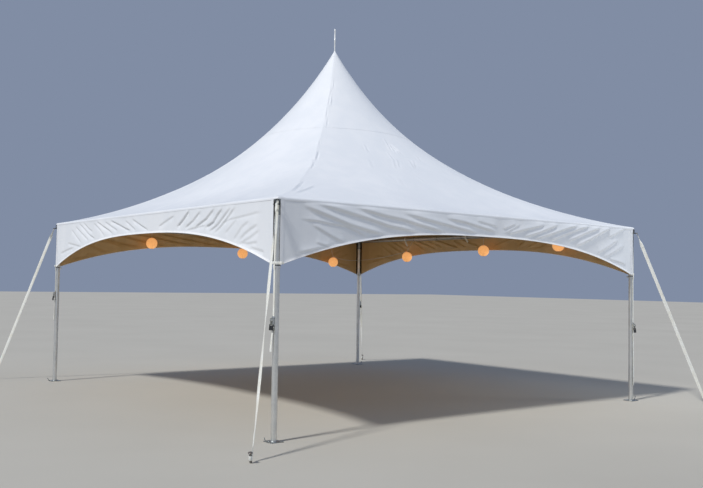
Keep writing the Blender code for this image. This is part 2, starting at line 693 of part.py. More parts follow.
def build():
    for side in SIDES:
        roof_panel(side)
        valance(side)
        eave_rail(side)
    for corner in CORNERS:
        leg(corner)
        base_plate(corner)
        corner_fitting(corner)
        mast_cable(corner)
        stake(corner)
        guy_strap(corner)
        leg_strap(corner)
        ratchet(corner)
    mast_foot()
    mast()
    peak_cap()
    finial()
    for name, centre, _ in lantern_spots():
        lantern(name, centre)
    lantern_lead()


build()
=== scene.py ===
import math

import bmesh
import bpy
import numpy as np
from mathutils import Matrix, Vector


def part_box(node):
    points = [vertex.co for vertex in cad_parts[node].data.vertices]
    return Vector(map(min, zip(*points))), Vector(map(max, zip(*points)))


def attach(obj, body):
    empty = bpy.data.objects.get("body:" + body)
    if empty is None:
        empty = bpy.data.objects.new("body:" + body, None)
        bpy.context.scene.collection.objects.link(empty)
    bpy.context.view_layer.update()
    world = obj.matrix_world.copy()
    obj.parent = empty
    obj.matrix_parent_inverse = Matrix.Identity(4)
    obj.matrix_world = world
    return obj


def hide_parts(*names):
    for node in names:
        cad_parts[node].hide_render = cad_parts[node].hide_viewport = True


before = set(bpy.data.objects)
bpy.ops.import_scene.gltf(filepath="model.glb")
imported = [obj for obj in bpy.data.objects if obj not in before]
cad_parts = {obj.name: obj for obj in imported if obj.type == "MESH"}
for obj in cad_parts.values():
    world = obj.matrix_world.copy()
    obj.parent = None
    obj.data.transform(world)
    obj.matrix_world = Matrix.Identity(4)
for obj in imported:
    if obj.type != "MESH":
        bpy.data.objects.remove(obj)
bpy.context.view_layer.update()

pi = math.pi
cornerSigns = {"front_left": (-1, -1), "front_right": (1, -1), "back_left": (-1, 1), "back_right": (1, 1)}
sideTurns = {"front": -pi / 2, "right": 0.0, "back": pi / 2, "left": pi}

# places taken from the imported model
legFoot, legTop = [corner.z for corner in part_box("front_right_leg")]
railLow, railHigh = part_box("right_eave_rail")
railHeight = (railLow.z + railHigh.z) / 2
half = (railLow.x + railHigh.x) / 2
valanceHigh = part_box("right_valance")[1]
edge = valanceHigh.x
valanceEnd = valanceHigh.y
print("frame loaded:", len(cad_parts), "nodes, legs", round(2 * half, 3), "m apart")

# camera, at the photograph's viewing angle
cameraLook = {
    "place": (-7.984, -10.3289, 1.5978), "yaw": 0.64466, "pitch": 0.04418, "roll": 0.01671,
    "lens": 44.668, "filmWidth": 36, "shiftX": 0.0449, "farthest": 300,
}


def setCamera(look):
    yaw, pitch, roll = look["yaw"], look["pitch"], look["roll"]
    forward = Vector((math.sin(yaw) * math.cos(pitch), math.cos(yaw) * math.cos(pitch), math.sin(pitch)))
    level = Vector((math.cos(yaw), -math.sin(yaw), 0))
    upright = level.cross(forward)
    right = level * math.cos(roll) + upright * math.sin(roll)
    up = upright * math.cos(roll) - level * math.sin(roll)
    made = bpy.data.objects.new("camera", bpy.data.cameras.new("camera"))
    made.data.lens = look["lens"]
    made.data.sensor_width = look["filmWidth"]
    made.data.shift_x = look["shiftX"]
    made.data.clip_end = look["farthest"]
    turn = Matrix((right, up, -forward)).transposed().to_4x4()
    made.matrix_world = Matrix.Translation(look["place"]) @ turn
    bpy.context.scene.collection.objects.link(made)
    bpy.context.scene.camera = made


setCamera(cameraLook)


def screenColour(red, green, blue):
    # 0 to 255 as seen on a screen, turned into the linear values a shader wants
    def linear(value):
        value /= 255
        return value / 12.92 if value <= 0.04045 else ((value + 0.055) / 1.055) ** 2.4
    return (linear(red), linear(green), linear(blue), 1.0)


class Finish:
    # a material with a Principled shader, and short ways to wire its nodes
    def __init__(self, name, colour, roughness, metallic=0.0, **sockets):
        self.material = bpy.data.materials.new(name)
        self.material.use_nodes = True
        self.tree = self.material.node_tree
        self.shader = self.tree.nodes["Principled BSDF"]
        self.colour = screenColour(*colour)
        self.shader.inputs["Base Color"].default_value = self.colour
        self.shader.inputs["Roughness"].default_value = roughness
        self.shader.inputs["Metallic"].default_value = metallic
        for socket, value in sockets.items():
            self.shader.inputs[socket.replace("_", " ")].default_value = value
        self.coordinates = self.tree.nodes.new("ShaderNodeTexCoord")

    def node(self, kind, inputs=(), **settings):
        made = self.tree.nodes.new("ShaderNode" + kind)
        for name, value in settings.items():
            setattr(made, name, value)
        for name, value in dict(inputs).items():
            if isinstance(value, bpy.types.NodeSocket):
                self.tree.links.new(value, made.inputs[name])
            else:
                made.inputs[name].default_value = value
        return made

    def place(self, scale=(1, 1, 1), turn=(0, 0, 0)):
        inputs = {"Vector": self.coordinates.outputs["Object"], "Scale": scale, "Rotation": turn}
        return self.node("Mapping", inputs).outputs["Vector"]

    def noise(self, scale, detail=4.0, roughness=0.55, distortion=0.0, place=None):
        inputs = {"Scale": scale, "Detail": detail, "Roughness": roughness, "Distortion": distortion}
        inputs["Vector"] = place or self.coordinates.outputs["Object"]
        return self.node("TexNoise", inputs).outputs["Fac"]

    def spread(self, value, low, high, outLow=0.0, outHigh=1.0):
        inputs = {"Value": value, "From Min": low, "From Max": high, "To Min": outLow, "To Max": outHigh}
        return self.node("MapRange", inputs).outputs["Result"]

    def math(self, operation, first, second):
        return self.node("Math", {0: first, 1: second}, operation=operation).outputs[0]

    def mix(self, share, first, second):
        made = self.node("Mix", data_type="RGBA")
        for index, value in ((0, share), (6, first), (7, second)):
            if isinstance(value, bpy.types.NodeSocket):
                self.tree.links.new(value, made.inputs[index])
            else:
                made.inputs[index].default_value = value
        return made.outputs[2]

    def wear(self, socket, value):
        self.tree.links.new(value, self.shader.inputs[socket])

    def gloss(self, value, low, high, smoother, rougher, middle):
        # roughness that follows a value, from a little under the middle to a little over it
        self.wear("Roughness", self.spread(value, low, high, middle - smoother, middle + rougher))

    def bump(self, height, strength, distance):
        inputs = {"Height": height, "Strength": strength, "Distance": distance}
        if self.shader.inputs["Normal"].links:
            inputs["Normal"] = self.shader.inputs["Normal"].links[0].from_socket
        self.wear("Normal", self.node("Bump", inputs).outputs["Normal"])


def coatedVinyl(name, colour, shade, look):
    # coated fabric: a scrim under the coating, faint rain marks, dull patches
    sockets = {"Coat_Weight": look["coat"], "Coat_Roughness": look["coatRoughness"]}
    made = Finish(name, colour, look["roughness"], **sockets)
    patches = made.noise(look["patchScale"], 5.0, 0.6)
    runs = made.noise(1.0, 3.0, 0.5, place=made.place(look["runStretch"]))
    marks = made.spread(made.math("MULTIPLY", patches, runs), 0.17, 0.36)
    made.wear("Base Color", made.mix(marks, screenColour(*shade), made.colour))
    made.gloss(patches, 0.35, 0.65, 0.06, 0.07, look["roughness"])
    threads = {"Vector": made.coordinates.outputs["UV"], "Scale": look["scrim"]}
    across = made.node("TexWave", threads)
    along = made.node("TexWave", threads, bands_direction="Y")
    scrim = made.math("ADD", across.outputs["Fac"], along.outputs["Fac"])
    made.bump(scrim, look["scrimBump"], look["scrimHeight"])
    made.bump(made.noise(look["creaseScale"], 2.0, 0.45, 0.6), look["creaseBump"], look["creaseHeight"])
    return made.material


vinyl = {
    # colours as (clean, dull)
    "outside": ((234, 236, 239), (229, 232, 236)), "inside": ((216, 182, 130), (199, 165, 113)),
    "trim": ((250, 250, 250), (243, 244, 246)), "weld": ((238, 240, 242), (232, 234, 238)),
    "roughness": 0.46, "coat": 0.1, "coatRoughness": 0.35, "patchScale": 0.9, "runStretch": (5.0, 5.0, 0.35),
    "scrim": 90.0, "scrimBump": 0.1, "scrimHeight": 0.0004,
    "creaseScale": 1.6, "creaseBump": 0.035, "creaseHeight": 0.006,
}
whiteVinyl = coatedVinyl("white_vinyl", *vinyl["outside"], vinyl)
# the inside face's tan-brown is painted shade and warm bounce light under the canopy
paintedShadeLining = coatedVinyl("tan_lining_painted_shade", *vinyl["inside"], vinyl)
# the trim's brighter white is a painted highlight, so the hems and the arch bead look as if they catch more
# light than the skirt
hemHighlightVinyl = coatedVinyl("welded_trim_painted_highlight", *vinyl["trim"], vinyl)
weldVinyl = coatedVinyl("weld_strip", *vinyl["weld"], vinyl)


def extrudedAluminium(name, stretch, look):
    # draw lines run along the tube, which stretch makes long
    made = Finish(name, look["colour"], look["roughness"], look["metal"])
    lines = made.noise(1.0, 3.0, 0.6, place=made.place(stretch))
    blotches = made.noise(look["blotchScale"], 5.0, 0.65)
    dull = made.mix(made.spread(blotches, 0.42, 0.68), made.colour, screenColour(*look["oxide"]))
    bright = made.spread(lines, 0.35, 0.65, 0.0, look["lineShare"])
    made.wear("Base Color", made.mix(bright, dull, screenColour(*look["line"])))
    made.gloss(made.math("ADD", lines, blotches), 0.7, 1.3, 0.08, 0.14, look["roughness"])
    made.bump(lines, 0.12, look["lineHeight"])
    return made.material


aluminium = {
    "colour": (236, 236, 232), "oxide": (212, 213, 209), "line": (246, 246, 243),
    "roughness": 0.36, "blotchScale": 7.0, "metal": 1.0, "lineShare": 0.35, "lineHeight": 0.0006,
}
brushed = dict(aluminium, colour=(244, 244, 242), oxide=(232, 233, 231), metal=0.35)
# the rails' darker colour is painted shade: the same aluminium as the legs, drawn darker as if out of the
# light
shadedRailLook = dict(aluminium, colour=(186, 184, 178), oxide=(158, 156, 150), line=(204, 202, 196))
shadedRailLook.update(roughness=0.44)
legAluminium = extrudedAluminium("leg_aluminium", (260, 260, 2.5), aluminium)
finialAluminium = extrudedAluminium("finial_aluminium", (260, 260, 2.5), brushed)
frontRailAluminium = extrudedAluminium("rail_aluminium_painted_shade_x", (2.5, 260, 260), shadedRailLook)
sideRailAluminium = extrudedAluminium("rail_aluminium_painted_shade_y", (260, 2.5, 260), shadedRailLook)


def castAluminium(look):
    made = Finish("cast_aluminium", look["colour"], look["roughness"], 1.0)
    grain = made.noise(look["grain"], 3.0, 0.7)
    blotches = made.noise(look["blotchScale"], 4.0, 0.6)
    stained = made.spread(blotches, 0.4, 0.65)
    made.wear("Base Color", made.mix(stained, made.colour, screenColour(*look["stain"])))
    made.gloss(grain, 0.3, 0.7, 0.08, 0.12, look["roughness"])
    made.bump(grain, 0.35, look["grainHeight"])
    return made.material


castFinish = castAluminium({
    "colour": (178, 182, 182), "stain": (142, 147, 148), "roughness": 0.48,
    "grain": 420.0, "grainHeight": 0.0008, "blotchScale": 14.0,
})


def galvanisedSteel(name, look):
    # zinc spangle from cells, with darker handled places
    made = Finish(name, look["colour"], look["roughness"], 1.0)
    cells = made.node("TexVoronoi", {"Vector": made.coordinates.outputs["Object"], "Scale": look["spangle"]})
    tone = made.node("SeparateColor", {"Color": cells.outputs["Color"]}).outputs[0]
    spangled = made.mix(made.spread(tone, 0.0, 1.0, 0.0, 0.75), made.colour, screenColour(*look["darkCell"]))
    patches = made.noise(look["stainScale"], 5.0, 0.7)
    stains = made.spread(patches, look["stainFrom"], look["stainFrom"] + 0.12)
    made.wear("Base Color", made.mix(stains, spangled, screenColour(*look["stain"])))
    made.wear("Metallic", made.spread(stains, 0.0, 1.0, 1.0, look["stainMetal"]))
    made.gloss(tone, 0.0, 1.0, 0.1, 0.12, look["roughness"])
    made.bump(made.noise(look["grain"], 3.0, 0.6), 0.25, look["grainHeight"])
    return made.material


zinc = {
    "colour": (186, 190, 190), "darkCell": (150, 156, 158), "stain": (120, 116, 108),
    "roughness": 0.44, "spangle": 130.0, "stainFrom": 0.62, "stainMetal": 0.6, "stainScale": 22.0,
    "grain": 180.0, "grainHeight": 0.0006,
}
rusty = dict(zinc, colour=(150, 150, 148), darkCell=(112, 110, 106), stain=(122, 82, 52))
rusty.update(roughness=0.55, spangle=90.0, stainFrom=0.5, stainMetal=0.1)
forged = dict(zinc, colour=(70, 72, 74), darkCell=(48, 50, 52), stain=(84, 66, 52))
forged.update(roughness=0.5, spangle=160.0, stainFrom=0.6, stainMetal=0.2)
plated = dict(zinc, colour=(214, 216, 212), darkCell=(190, 192, 190))
galvanised = galvanisedSteel("galvanised_steel", zinc)
forgedSteel = galvanisedSteel("forged_steel", forged)
ratchetZinc = galvanisedSteel("ratchet_zinc", plated)
stakeSteel = galvanisedSteel("weathered_stake_steel", rusty)
cableSteel = galvanisedSteel("cable_steel", dict(zinc, spangle=900.0, roughness=0.38))


def wovenWebbing(name, look):
    # UV runs along the strap and across it, both in metres
    made = Finish(name, look["colour"], look["roughness"], Sheen_Weight=look["sheen"])
    place = made.coordinates.outputs["UV"]
    ribs = made.node("TexWave", {"Vector": place, "Scale": look["ribs"], "Distortion": 0.4})
    picks = {"Vector": place, "Scale": look["picks"], "Distortion": 0.4}
    picks = made.node("TexWave", picks, bands_direction="Y")
    weave = made.math("MULTIPLY", ribs.outputs["Fac"], picks.outputs["Fac"])
    soil = made.spread(made.noise(look["soilScale"], 5.0, 0.65), 0.42, 0.7)
    # the weave's low places take the darker shade colour: painted shade in the hollows of the weave
    clean = made.mix(made.spread(weave, 0.0, 1.0, 0.0, 0.5), screenColour(*look["shade"]), made.colour)
    made.wear("Base Color", made.mix(soil, clean, screenColour(*look["soil"])))
    made.wear("Roughness", made.spread(soil, 0.0, 1.0, look["roughness"], look["soilRoughness"]))
    made.bump(weave, 0.7, look["weaveHeight"])
    return made.material


webbing = {
    "colour": (252, 252, 248), "shade": (230, 231, 225), "soil": (222, 219, 206), "roughness": 0.78,
    "sheen": 0.25, "ribs": 70.0, "picks": 110.0, "weaveHeight": 0.0008,
    "soilScale": 9.0, "soilRoughness": 0.95,
}
strapWebbing = wovenWebbing("strap_webbing", webbing)


def polyesterThread(look):
    made = Finish("polyester_thread", look["colour"], look["roughness"], Sheen_Weight=look["sheen"])
    twist = made.node("TexWave", {"Vector": made.place(turn=look["twistTurn"]), "Scale": look["twist"]})
    made.bump(twist.outputs["Fac"], 0.5, look["twistHeight"])
    return made.material


threadWhite = polyesterThread({
    "colour": (240, 240, 234), "roughness": 0.7, "sheen": 0.2,
    "twist": 300.0, "twistTurn": (0.6, 0.4, 0.2), "twistHeight": 0.0004,
})


def blackPaint(look):
    # powder coat, chipped to the steel where noise peaks
    made = Finish("black_powder_coat", look["colour"], look["roughness"])
    chips = made.spread(made.noise(look["chipScale"], 6.0, 0.75), look["chipFrom"], look["chipFrom"] + 0.02)
    made.wear("Base Color", made.mix(chips, made.colour, screenColour(*look["steel"])))
    made.wear("Metallic", chips)
    made.gloss(made.noise(look["rubScale"], 3.0), 0.3, 0.7, 0.08, 0.12, look["roughness"])
    made.bump(made.noise(look["grain"], 2.0, 0.6), 0.2, look["grainHeight"])
    return made.material


blackCoat = blackPaint({
    "colour": (34, 35, 37), "steel": (150, 150, 148), "roughness": 0.42, "chipScale": 95.0, "chipFrom": 0.66,
    "rubScale": 60.0, "grain": 700.0, "grainHeight": 0.0004,
})


def lanternPaper(look):
    # painted light: the paper glows by emission although there is no lamp inside
    sockets = {"Sheen_Weight": look["sheen"], "Emission_Strength": look["glow"]}
    made = Finish("orange_paper", look["colour"], look["roughness"], **sockets)
    fibres = made.noise(1.0, 5.0, 0.7, 0.8, made.place(look["fibreStretch"]))
    cloud = made.noise(look["cloudScale"], 3.0, 0.5)
    made.shader.inputs["Emission Color"].default_value = screenColour(*look["glowColour"])
    thick = made.mix(made.spread(fibres, 0.38, 0.66, 0.0, 0.6), made.colour, screenColour(*look["fibre"]))
    deeper = made.spread(cloud, 0.35, 0.7, 0.0, 0.35)
    made.wear("Base Color", made.mix(deeper, thick, screenColour(*look["deep"])))
    made.gloss(fibres, 0.3, 0.7, 0.1, 0.1, look["roughness"])
    made.bump(fibres, 0.3, look["fibreHeight"])
    return made.material


paper = {
    "colour": (255, 178, 100), "fibre": (255, 202, 136), "deep": (246, 152, 72),
    "glow": 0.6, "glowColour": (255, 184, 116), "roughness": 0.72, "sheen": 0.15,
    "fibreStretch": (60, 60, 18), "fibreHeight": 0.0008, "cloudScale": 16.0,
}
orangePaper = lanternPaper(paper)


def leadJacket(look):
    made = Finish("white_lead_jacket", look["colour"], look["roughness"])
    dull = made.noise(look["dullScale"], 4.0, 0.6)
    made.wear("Base Color", made.mix(made.spread(dull, 0.4, 0.7), made.colour, screenColour(*look["dull"])))
    made.gloss(dull, 0.3, 0.7, 0.06, 0.08, look["roughness"])
    made.bump(made.noise(look["grain"], 2.0), 0.1, look["grainHeight"])
    return made.material


whiteLead = leadJacket({
    "colour": (226, 226, 218), "dull": (206, 205, 194), "roughness": 0.48,
    "dullScale": 35.0, "grain": 260.0, "grainHeight": 0.0005,
})
print("finishes made")


class Shape:
    # gathers closed forms, then becomes one object
    def __init__(self):
        self.points = []
        self.faces = []
        self.uvs = []

    def add(self, points, faces, uvs=None, where=None):
        start = len(self.points)
        where = where or Matrix()
        self.points += [where @ Vector(point) for point in points]
        self.faces += [tuple(start + i for i in face) for face in faces]
        self.uvs += uvs or [(0.0, 0.0)] * len(points)
        return self

    def turned(self, profile, where=None, steps=32, closed=False):
        # profile of (radius, height) turned about Z; closed joins its last point to its first
        points, rings = [], []
        for radius, height in profile:
            if radius < 1e-7:
                rings.append([len(points)] * steps)
                points.append((0, 0, height))
                continue
            rings.append(list(range(len(points), len(points) + steps)))
            for i in range(steps):
                angle = 2 * pi * i / steps
                points.append((radius * math.cos(angle), radius * math.sin(angle), height))
        pairs = list(zip(rings, rings[1:])) + ([(rings[-1], rings[0])] if closed else [])
        faces = []
        for low, high in pairs:
            for i in range(steps):
                j = (i + 1) % steps
                corners = [low[i], low[j], high[j], high[i]]
                face = [c for n, c in enumerate(corners) if c not in corners[:n]]
                if len(face) > 2:
                    faces.append(face)
        return self.add(points, faces, where=where)

    def rod(self, start, end, radius, steps=16, bevel=0.0, where=None):
        length = (Vector(end) - Vector(start)).length
        profile = [(0, 0), (radius, 0), (radius, length), (0, length)]
        if bevel:
            profile[1:3] = [(radius - bevel, 0), (radius, bevel)]
            profile[-1:-1] = [(radius, length - bevel), (radius - bevel, length)]
        return self.turned(profile, (where or Matrix()) @ along(start, end), steps)

    def tube(self, path, radius, steps=12, where=None, loop=False, lobes=0, lobeDepth=0.0, lay=0.0):
        # a round section carried along a path without twist, or with lobes that turn once per lay
        path = [Vector(point) for point in path]
        count = len(path)
        radii = radius if isinstance(radius, (list, tuple)) else [radius] * count
        heading = (path[1] - path[0]).normalized()
        side = heading.orthogonal().normalized()
        points, travelled = [], 0.0
        for n, point in enumerate(path):
            if loop:
                ahead = path[(n + 1) % count] - path[n - 1]
            else:
                ahead = path[min(n + 1, count - 1)] - path[max(n - 1, 0)]
            ahead.normalize()
            side = (side - ahead * side.dot(ahead)).normalized()
            other = ahead.cross(side)
            travelled += (point - path[n - 1]).length if n else 0.0
            spin = 2 * pi * travelled / lay if lay else 0.0
            for i in range(steps):
                angle = 2 * pi * i / steps
                reach = radii[n] * (1 - lobeDepth * (0.5 - 0.5 * math.cos(lobes * angle)))
                turn = angle + spin
                points.append(point + (side * math.cos(turn) + other * math.sin(turn)) * reach)
        faces = []
        for n in range(count if loop else count - 1):
            m = (n + 1) % count
            for i in range(steps):
                j = (i + 1) % steps
                faces.append((n * steps + i, n * steps + j, m * steps + j, m * steps + i))
        if not loop:
            faces.append(tuple(range(steps - 1, -1, -1)))
            faces.append(tuple(range((count - 1) * steps, count * steps)))
        return self.add(points, faces, where=where)

    def block(self, size, centre, where=None, bevel=0.0, segments=2):
        bm = bmesh.new()
        bmesh.ops.create_cube(bm, size=1.0)
        bmesh.ops.scale(bm, verts=bm.verts, vec=size)
        bmesh.ops.translate(bm, verts=bm.verts, vec=centre)
        if bevel:
            geom = bm.edges[:] + bm.verts[:]
            bmesh.ops.bevel(bm, geom=geom, offset=bevel, segments=segments, profile=0.5, affect="EDGES")
        bm.verts.index_update()
        points = [vertex.co.copy() for vertex in bm.verts]
        faces = [[vertex.index for vertex in face.verts] for face in bm.faces]
        bm.free()
        return self.add(points, faces, where=where)

    def plate(self, outline, low, high, where=None):
        # an outline of (x, y) points made solid between two heights
        count = len(outline)
        points = [(x, y, low) for x, y in outline] + [(x, y, high) for x, y in outline]
        faces = [tuple(range(count - 1, -1, -1)), tuple(range(count, 2 * count))]
        faces += [(i, (i + 1) % count, count + (i + 1) % count, count + i) for i in range(count)]
        return self.add(points, faces, where=where)

    def ribbon(self, rows, thickness, where=None):
        # a strap along rows of (middle, half width as a vector), with thinner selvedges
        points, faces, uvs = [], [], []
        section = ((-1, 0), (-0.9, 1), (0, 1), (0.9, 1), (1, 0), (0.9, -1), (0, -1), (-0.9, -1))
        count = len(section)
        travelled = 0.0
        for n, (middle, reach) in enumerate(rows):
            ahead = rows[min(n + 1, len(rows) - 1)][0] - rows[max(n - 1, 0)][0]
            up = ahead.cross(reach).normalized() * (thickness / 2)
            travelled += (middle - rows[n - 1][0]).length if n else 0.0
            for share, lift in section:
                points.append(middle + reach * share + up * lift)
                uvs.append((travelled, share * reach.length))
        last = (len(rows) - 1) * count
        for start in range(0, last, count):
            for i in range(count):
                j = (i + 1) % count
                faces.append((start + i, start + j, start + count + j, start + count + i))
        faces += [tuple(range(count - 1, -1, -1)), tuple(range(last, last + count))]
        return self.add(points, faces, uvs, where)

    def make(self, name, finish, slot, stands=(), sharp=35):
        mesh = bpy.data.meshes.new(name)
        mesh.from_pydata(self.points, [], self.faces)
        putUvs(mesh, np.array(self.uvs, dtype=np.float32))
        bm = bmesh.new()
        bm.from_mesh(mesh)
        bmesh.ops.recalc_face_normals(bm, faces=bm.faces)
        bm.to_mesh(mesh)
        bm.free()
        mesh.shade_smooth()
        mesh.set_sharp_from_angle(angle=math.radians(sharp))
        return finishPiece(name, mesh, [finish], stands)


def putUvs(mesh, uvs):
    # one (u, v) for each point of the mesh, in metres
    layer = mesh.uv_layers.new(name="metres")
    corners = np.empty(len(mesh.loops), dtype=np.int64)
    mesh.loops.foreach_get("vertex_index", corners)
    layer.data.foreach_set("uv", uvs[corners].ravel())


def finishPiece(name, mesh, finishes, stands=()):
    made = bpy.data.objects.new(name, mesh)
    for finish in finishes:
        mesh.materials.append(finish)
    bpy.context.scene.collection.objects.link(made)
    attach(made, "root")
    if stands:
        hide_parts(*stands)
    return made


def along(start, end):
    # a frame at start whose Z points to end
    start = Vector(start)
    return Matrix.Translation(start) @ (Vector(end) - start).to_track_quat("Z", "Y").to_matrix().to_4x4()


def sideFrame(side):
    return Matrix.Rotation(sideTurns[side], 4, "Z")


def cornerTurn(corner):
    signX, signY = cornerSigns[corner]
    return Matrix.Rotation(math.atan2(signY, signX), 4, "Z")


def cornerFrame(corner):
    # on the leg's axis at the floor, with X pointing out along the diagonal
    signX, signY = cornerSigns[corner]
    return Matrix.Translation((signX * half, signY * half, 0)) @ cornerTurn(corner)


def smooth(share):
    share = min(1.0, max(0.0, share))
    return share * share * (3 - 2 * share)


def rounded(points, radius, steps=6):
    # a path with its corners turned into arcs
    points = [Vector(point) for point in points]
    made = [points[0]]
    for before, here, after in zip(points, points[1:], points[2:]):
        back, ahead = (before - here), (after - here)
        cut = min(radius, back.length * 0.45, ahead.length * 0.45)
        start, end = here + back.normalized() * cut, here + ahead.normalized() * cut
        for i in range(steps + 1):
            share = i / steps
            made.append(start * (1 - share) ** 2 + here * 2 * share * (1 - share) + end * share ** 2)
    made.append(points[-1])
    return made


def circle(radius, steps, centre=(0, 0, 0), first=(1, 0, 0), second=(0, 1, 0)):
    # points round a centre, from the first direction towards the second
    angles = [2 * pi * i / steps for i in range(steps)]
    first, second = Vector(first) * radius, Vector(second) * radius
    return [Vector(centre) + first * math.cos(angle) + second * math.sin(angle) for angle in angles]


def sheetNormals(points, loop=False):
    # for a grid of points (rows, columns, 3), each point's direction off the sheet
    if loop:
        alongColumns = np.roll(points, -1, 1) - np.roll(points, 1, 1)
    else:
        alongColumns = np.gradient(points, axis=1)
    normals = np.cross(np.gradient(points, axis=0), alongColumns)
    return normals / (np.linalg.norm(normals, axis=2, keepdims=True) + 1e-12)


def sheetMesh(name, points, uvs, thickness, loop=False):
    # a grid of points (rows, columns, 3) made into a closed sheet: face 0 outside, face 1 inside
    rows, columns = points.shape[:2]
    under = points - sheetNormals(points, loop) * thickness
    both = np.concatenate([points.reshape(-1, 3), under.reshape(-1, 3)])
    index = np.arange(rows * columns).reshape(rows, columns)
    ahead = np.roll(index, -1, 1) if loop else index[:, 1:]
    here = index if loop else index[:, :-1]
    outside = np.stack([here[:-1], here[1:], ahead[1:], ahead[:-1]], axis=-1).reshape(-1, 4)
    # the same diagonal on both faces, so that neither cuts through the other
    inside = outside[:, [0, 3, 2, 1]] + rows * columns
    rims = []
    borders = [(here[0], ahead[0]), (ahead[-1], here[-1])]
    if not loop:
        borders += [(index[1:, 0], index[:-1, 0]), (index[:-1, -1], index[1:, -1])]
    for first, second in borders:
        rims.append(np.stack([first, second, second + rows * columns, first + rows * columns], axis=-1))
    faces = np.concatenate([outside, inside] + rims)
    mesh = bpy.data.meshes.new(name)
    mesh.from_pydata(both.tolist(), [], faces.tolist())
    finishes = np.zeros(len(faces), dtype=np.int32)
    finishes[len(outside):2 * len(outside)] = 1
    mesh.polygons.foreach_set("material_index", finishes)
    putUvs(mesh, np.concatenate([uvs.reshape(-1, 2)] * 2).astype(np.float32))
    mesh.shade_smooth()
    mesh.set_sharp_from_angle(angle=math.radians(60))
    return mesh


def turnPoints(points, side):
    turn = np.array(sideFrame(side).to_3x3())
    return points @ turn.T


# canopy
canopy = {
    "eaveHeight": 2.458, "peakRise": 2.646, "hipShare": 0.656, "hipDecay": 3.476, "hipPower": 1.266,
    "flattening": 1.3, "tipRadius": 0.0135, "thickness": 0.0014,
    "rows": ((0.09, 8), (0.3, 36), (0.56, 56), (0.66, 6), (0.88, 30), (1.0, 7)),
    "columns": {
        "right": ((-0.95, 8), (0.95, 32), (1.0, 8)), "back": ((-0.95, 8), (0.95, 32), (1.0, 8)),
        "left": ((-0.95, 8), (0.3, 24), (0.9, 22), (1.0, 24)),
        "front": ((-0.9, 26), (-0.5, 16), (0.4, 68), (0.95, 16), (1.0, 8)),
    },
    "eaveProud": 0.0015, "rollRadius": 0.024, "flap": 0.012, "cornerRadius": 0.022, "cornerEase": 0.12,
    "rollSteps": 10, "cornerKeep": 0.8, "swell": 0.0035, "swellEase": 0.5,
    "flatCut": (6.27, 8.6), "flatArea": 47.0,
}
roofOrder = ("right", "back", "left", "front")
# creases pressed into the canopy: start and end on the plan, height and half width, in metres
creases = (
    ((-0.21, -0.25), (-0.31, -0.36), 0.0045, 0.01), ((-0.31, -0.33), (-0.41, -0.41), 0.0045, 0.01),
    ((-0.37, -0.42), (-0.49, -0.55), 0.006, 0.011), ((-0.41, -0.41), (-0.52, -0.52), 0.005, 0.01),
    ((-0.55, -0.54), (-0.69, -0.69), 0.005, 0.011), ((-0.66, -0.69), (-0.8, -0.86), 0.0045, 0.011),
    ((-1.03, -1.02), (-1.16, -1.16), 0.0045, 0.012), ((-1.22, -1.24), (-1.45, -1.49), 0.0095, 0.014),
    ((-1.49, -1.52), (-1.68, -1.71), 0.0065, 0.013), ((-2.05, -2.09), (-2.64, -2.67), 0.008, 0.015),
    ((-1.98, -2.25), (-2.68, -2.76), 0.009, 0.016), ((-0.45, -1.25), (-0.52, -1.43), 0.0083, 0.013),
    ((0.02, -1.12), (-0.08, -1.4), 0.0075, 0.011), ((0.03, -1.2), (-0.02, -1.41), 0.0075, 0.01),
    ((0.06, -1.2), (0.04, -1.45), 0.009, 0.011), ((0.1, -1.21), (0.08, -1.46), 0.0083, 0.011),
    ((-0.17, -1.54), (-0.33, -1.77), 0.0075, 0.012), ((-0.1, -1.54), (-0.25, -1.75), 0.0075, 0.012),
    ((-0.61, -1.54), (-0.74, -1.79), 0.0053, 0.014), ((0.13, -1.52), (0.04, -1.74), 0.0075, 0.012),
    ((0.24, -1.49), (0.07, -1.72), 0.0083, 0.012), ((0.42, -1.36), (0.38, -1.5), 0.0067, 0.012),
    ((-0.16, -1.39), (-0.2, -1.6), 0.0067, 0.012), ((-0.6, -1.9), (-0.61, -2.08), 0.0045, 0.014),
    ((-0.46, -1.97), (-0.6, -2.21), 0.0053, 0.015), ((-0.09, -1.89), (-0.06, -2.07), 0.0045, 0.014),
)


def hipHeight(reach):
    # height of a hip at a share of the way out from the peak
    atEave = math.exp(-canopy["hipDecay"])
    decay = (np.exp(-canopy["hipDecay"] * reach) - atEave) / (1 - atEave)
    power = (1 - np.minimum(reach, 1.0)) ** canopy["hipPower"]
    share = canopy["hipShare"]
    return canopy["eaveHeight"] + canopy["peakRise"] * (share * decay + (1 - share) * power)


def roofPoint(reach, across):
    # in a side's own frame, X outward
    middle = reach * (1 + (math.sqrt(2) - 1) * (1 - reach) ** canopy["flattening"])
    out = reach + (middle - reach) * (1 - across * across)
    return np.stack(np.broadcast_arrays(edge * out, edge * reach * across, hipHeight(reach)), axis=-1)


def eased(value):
    value = np.clip(value, 0, 1)
    return value * value * (3 - 2 * value)


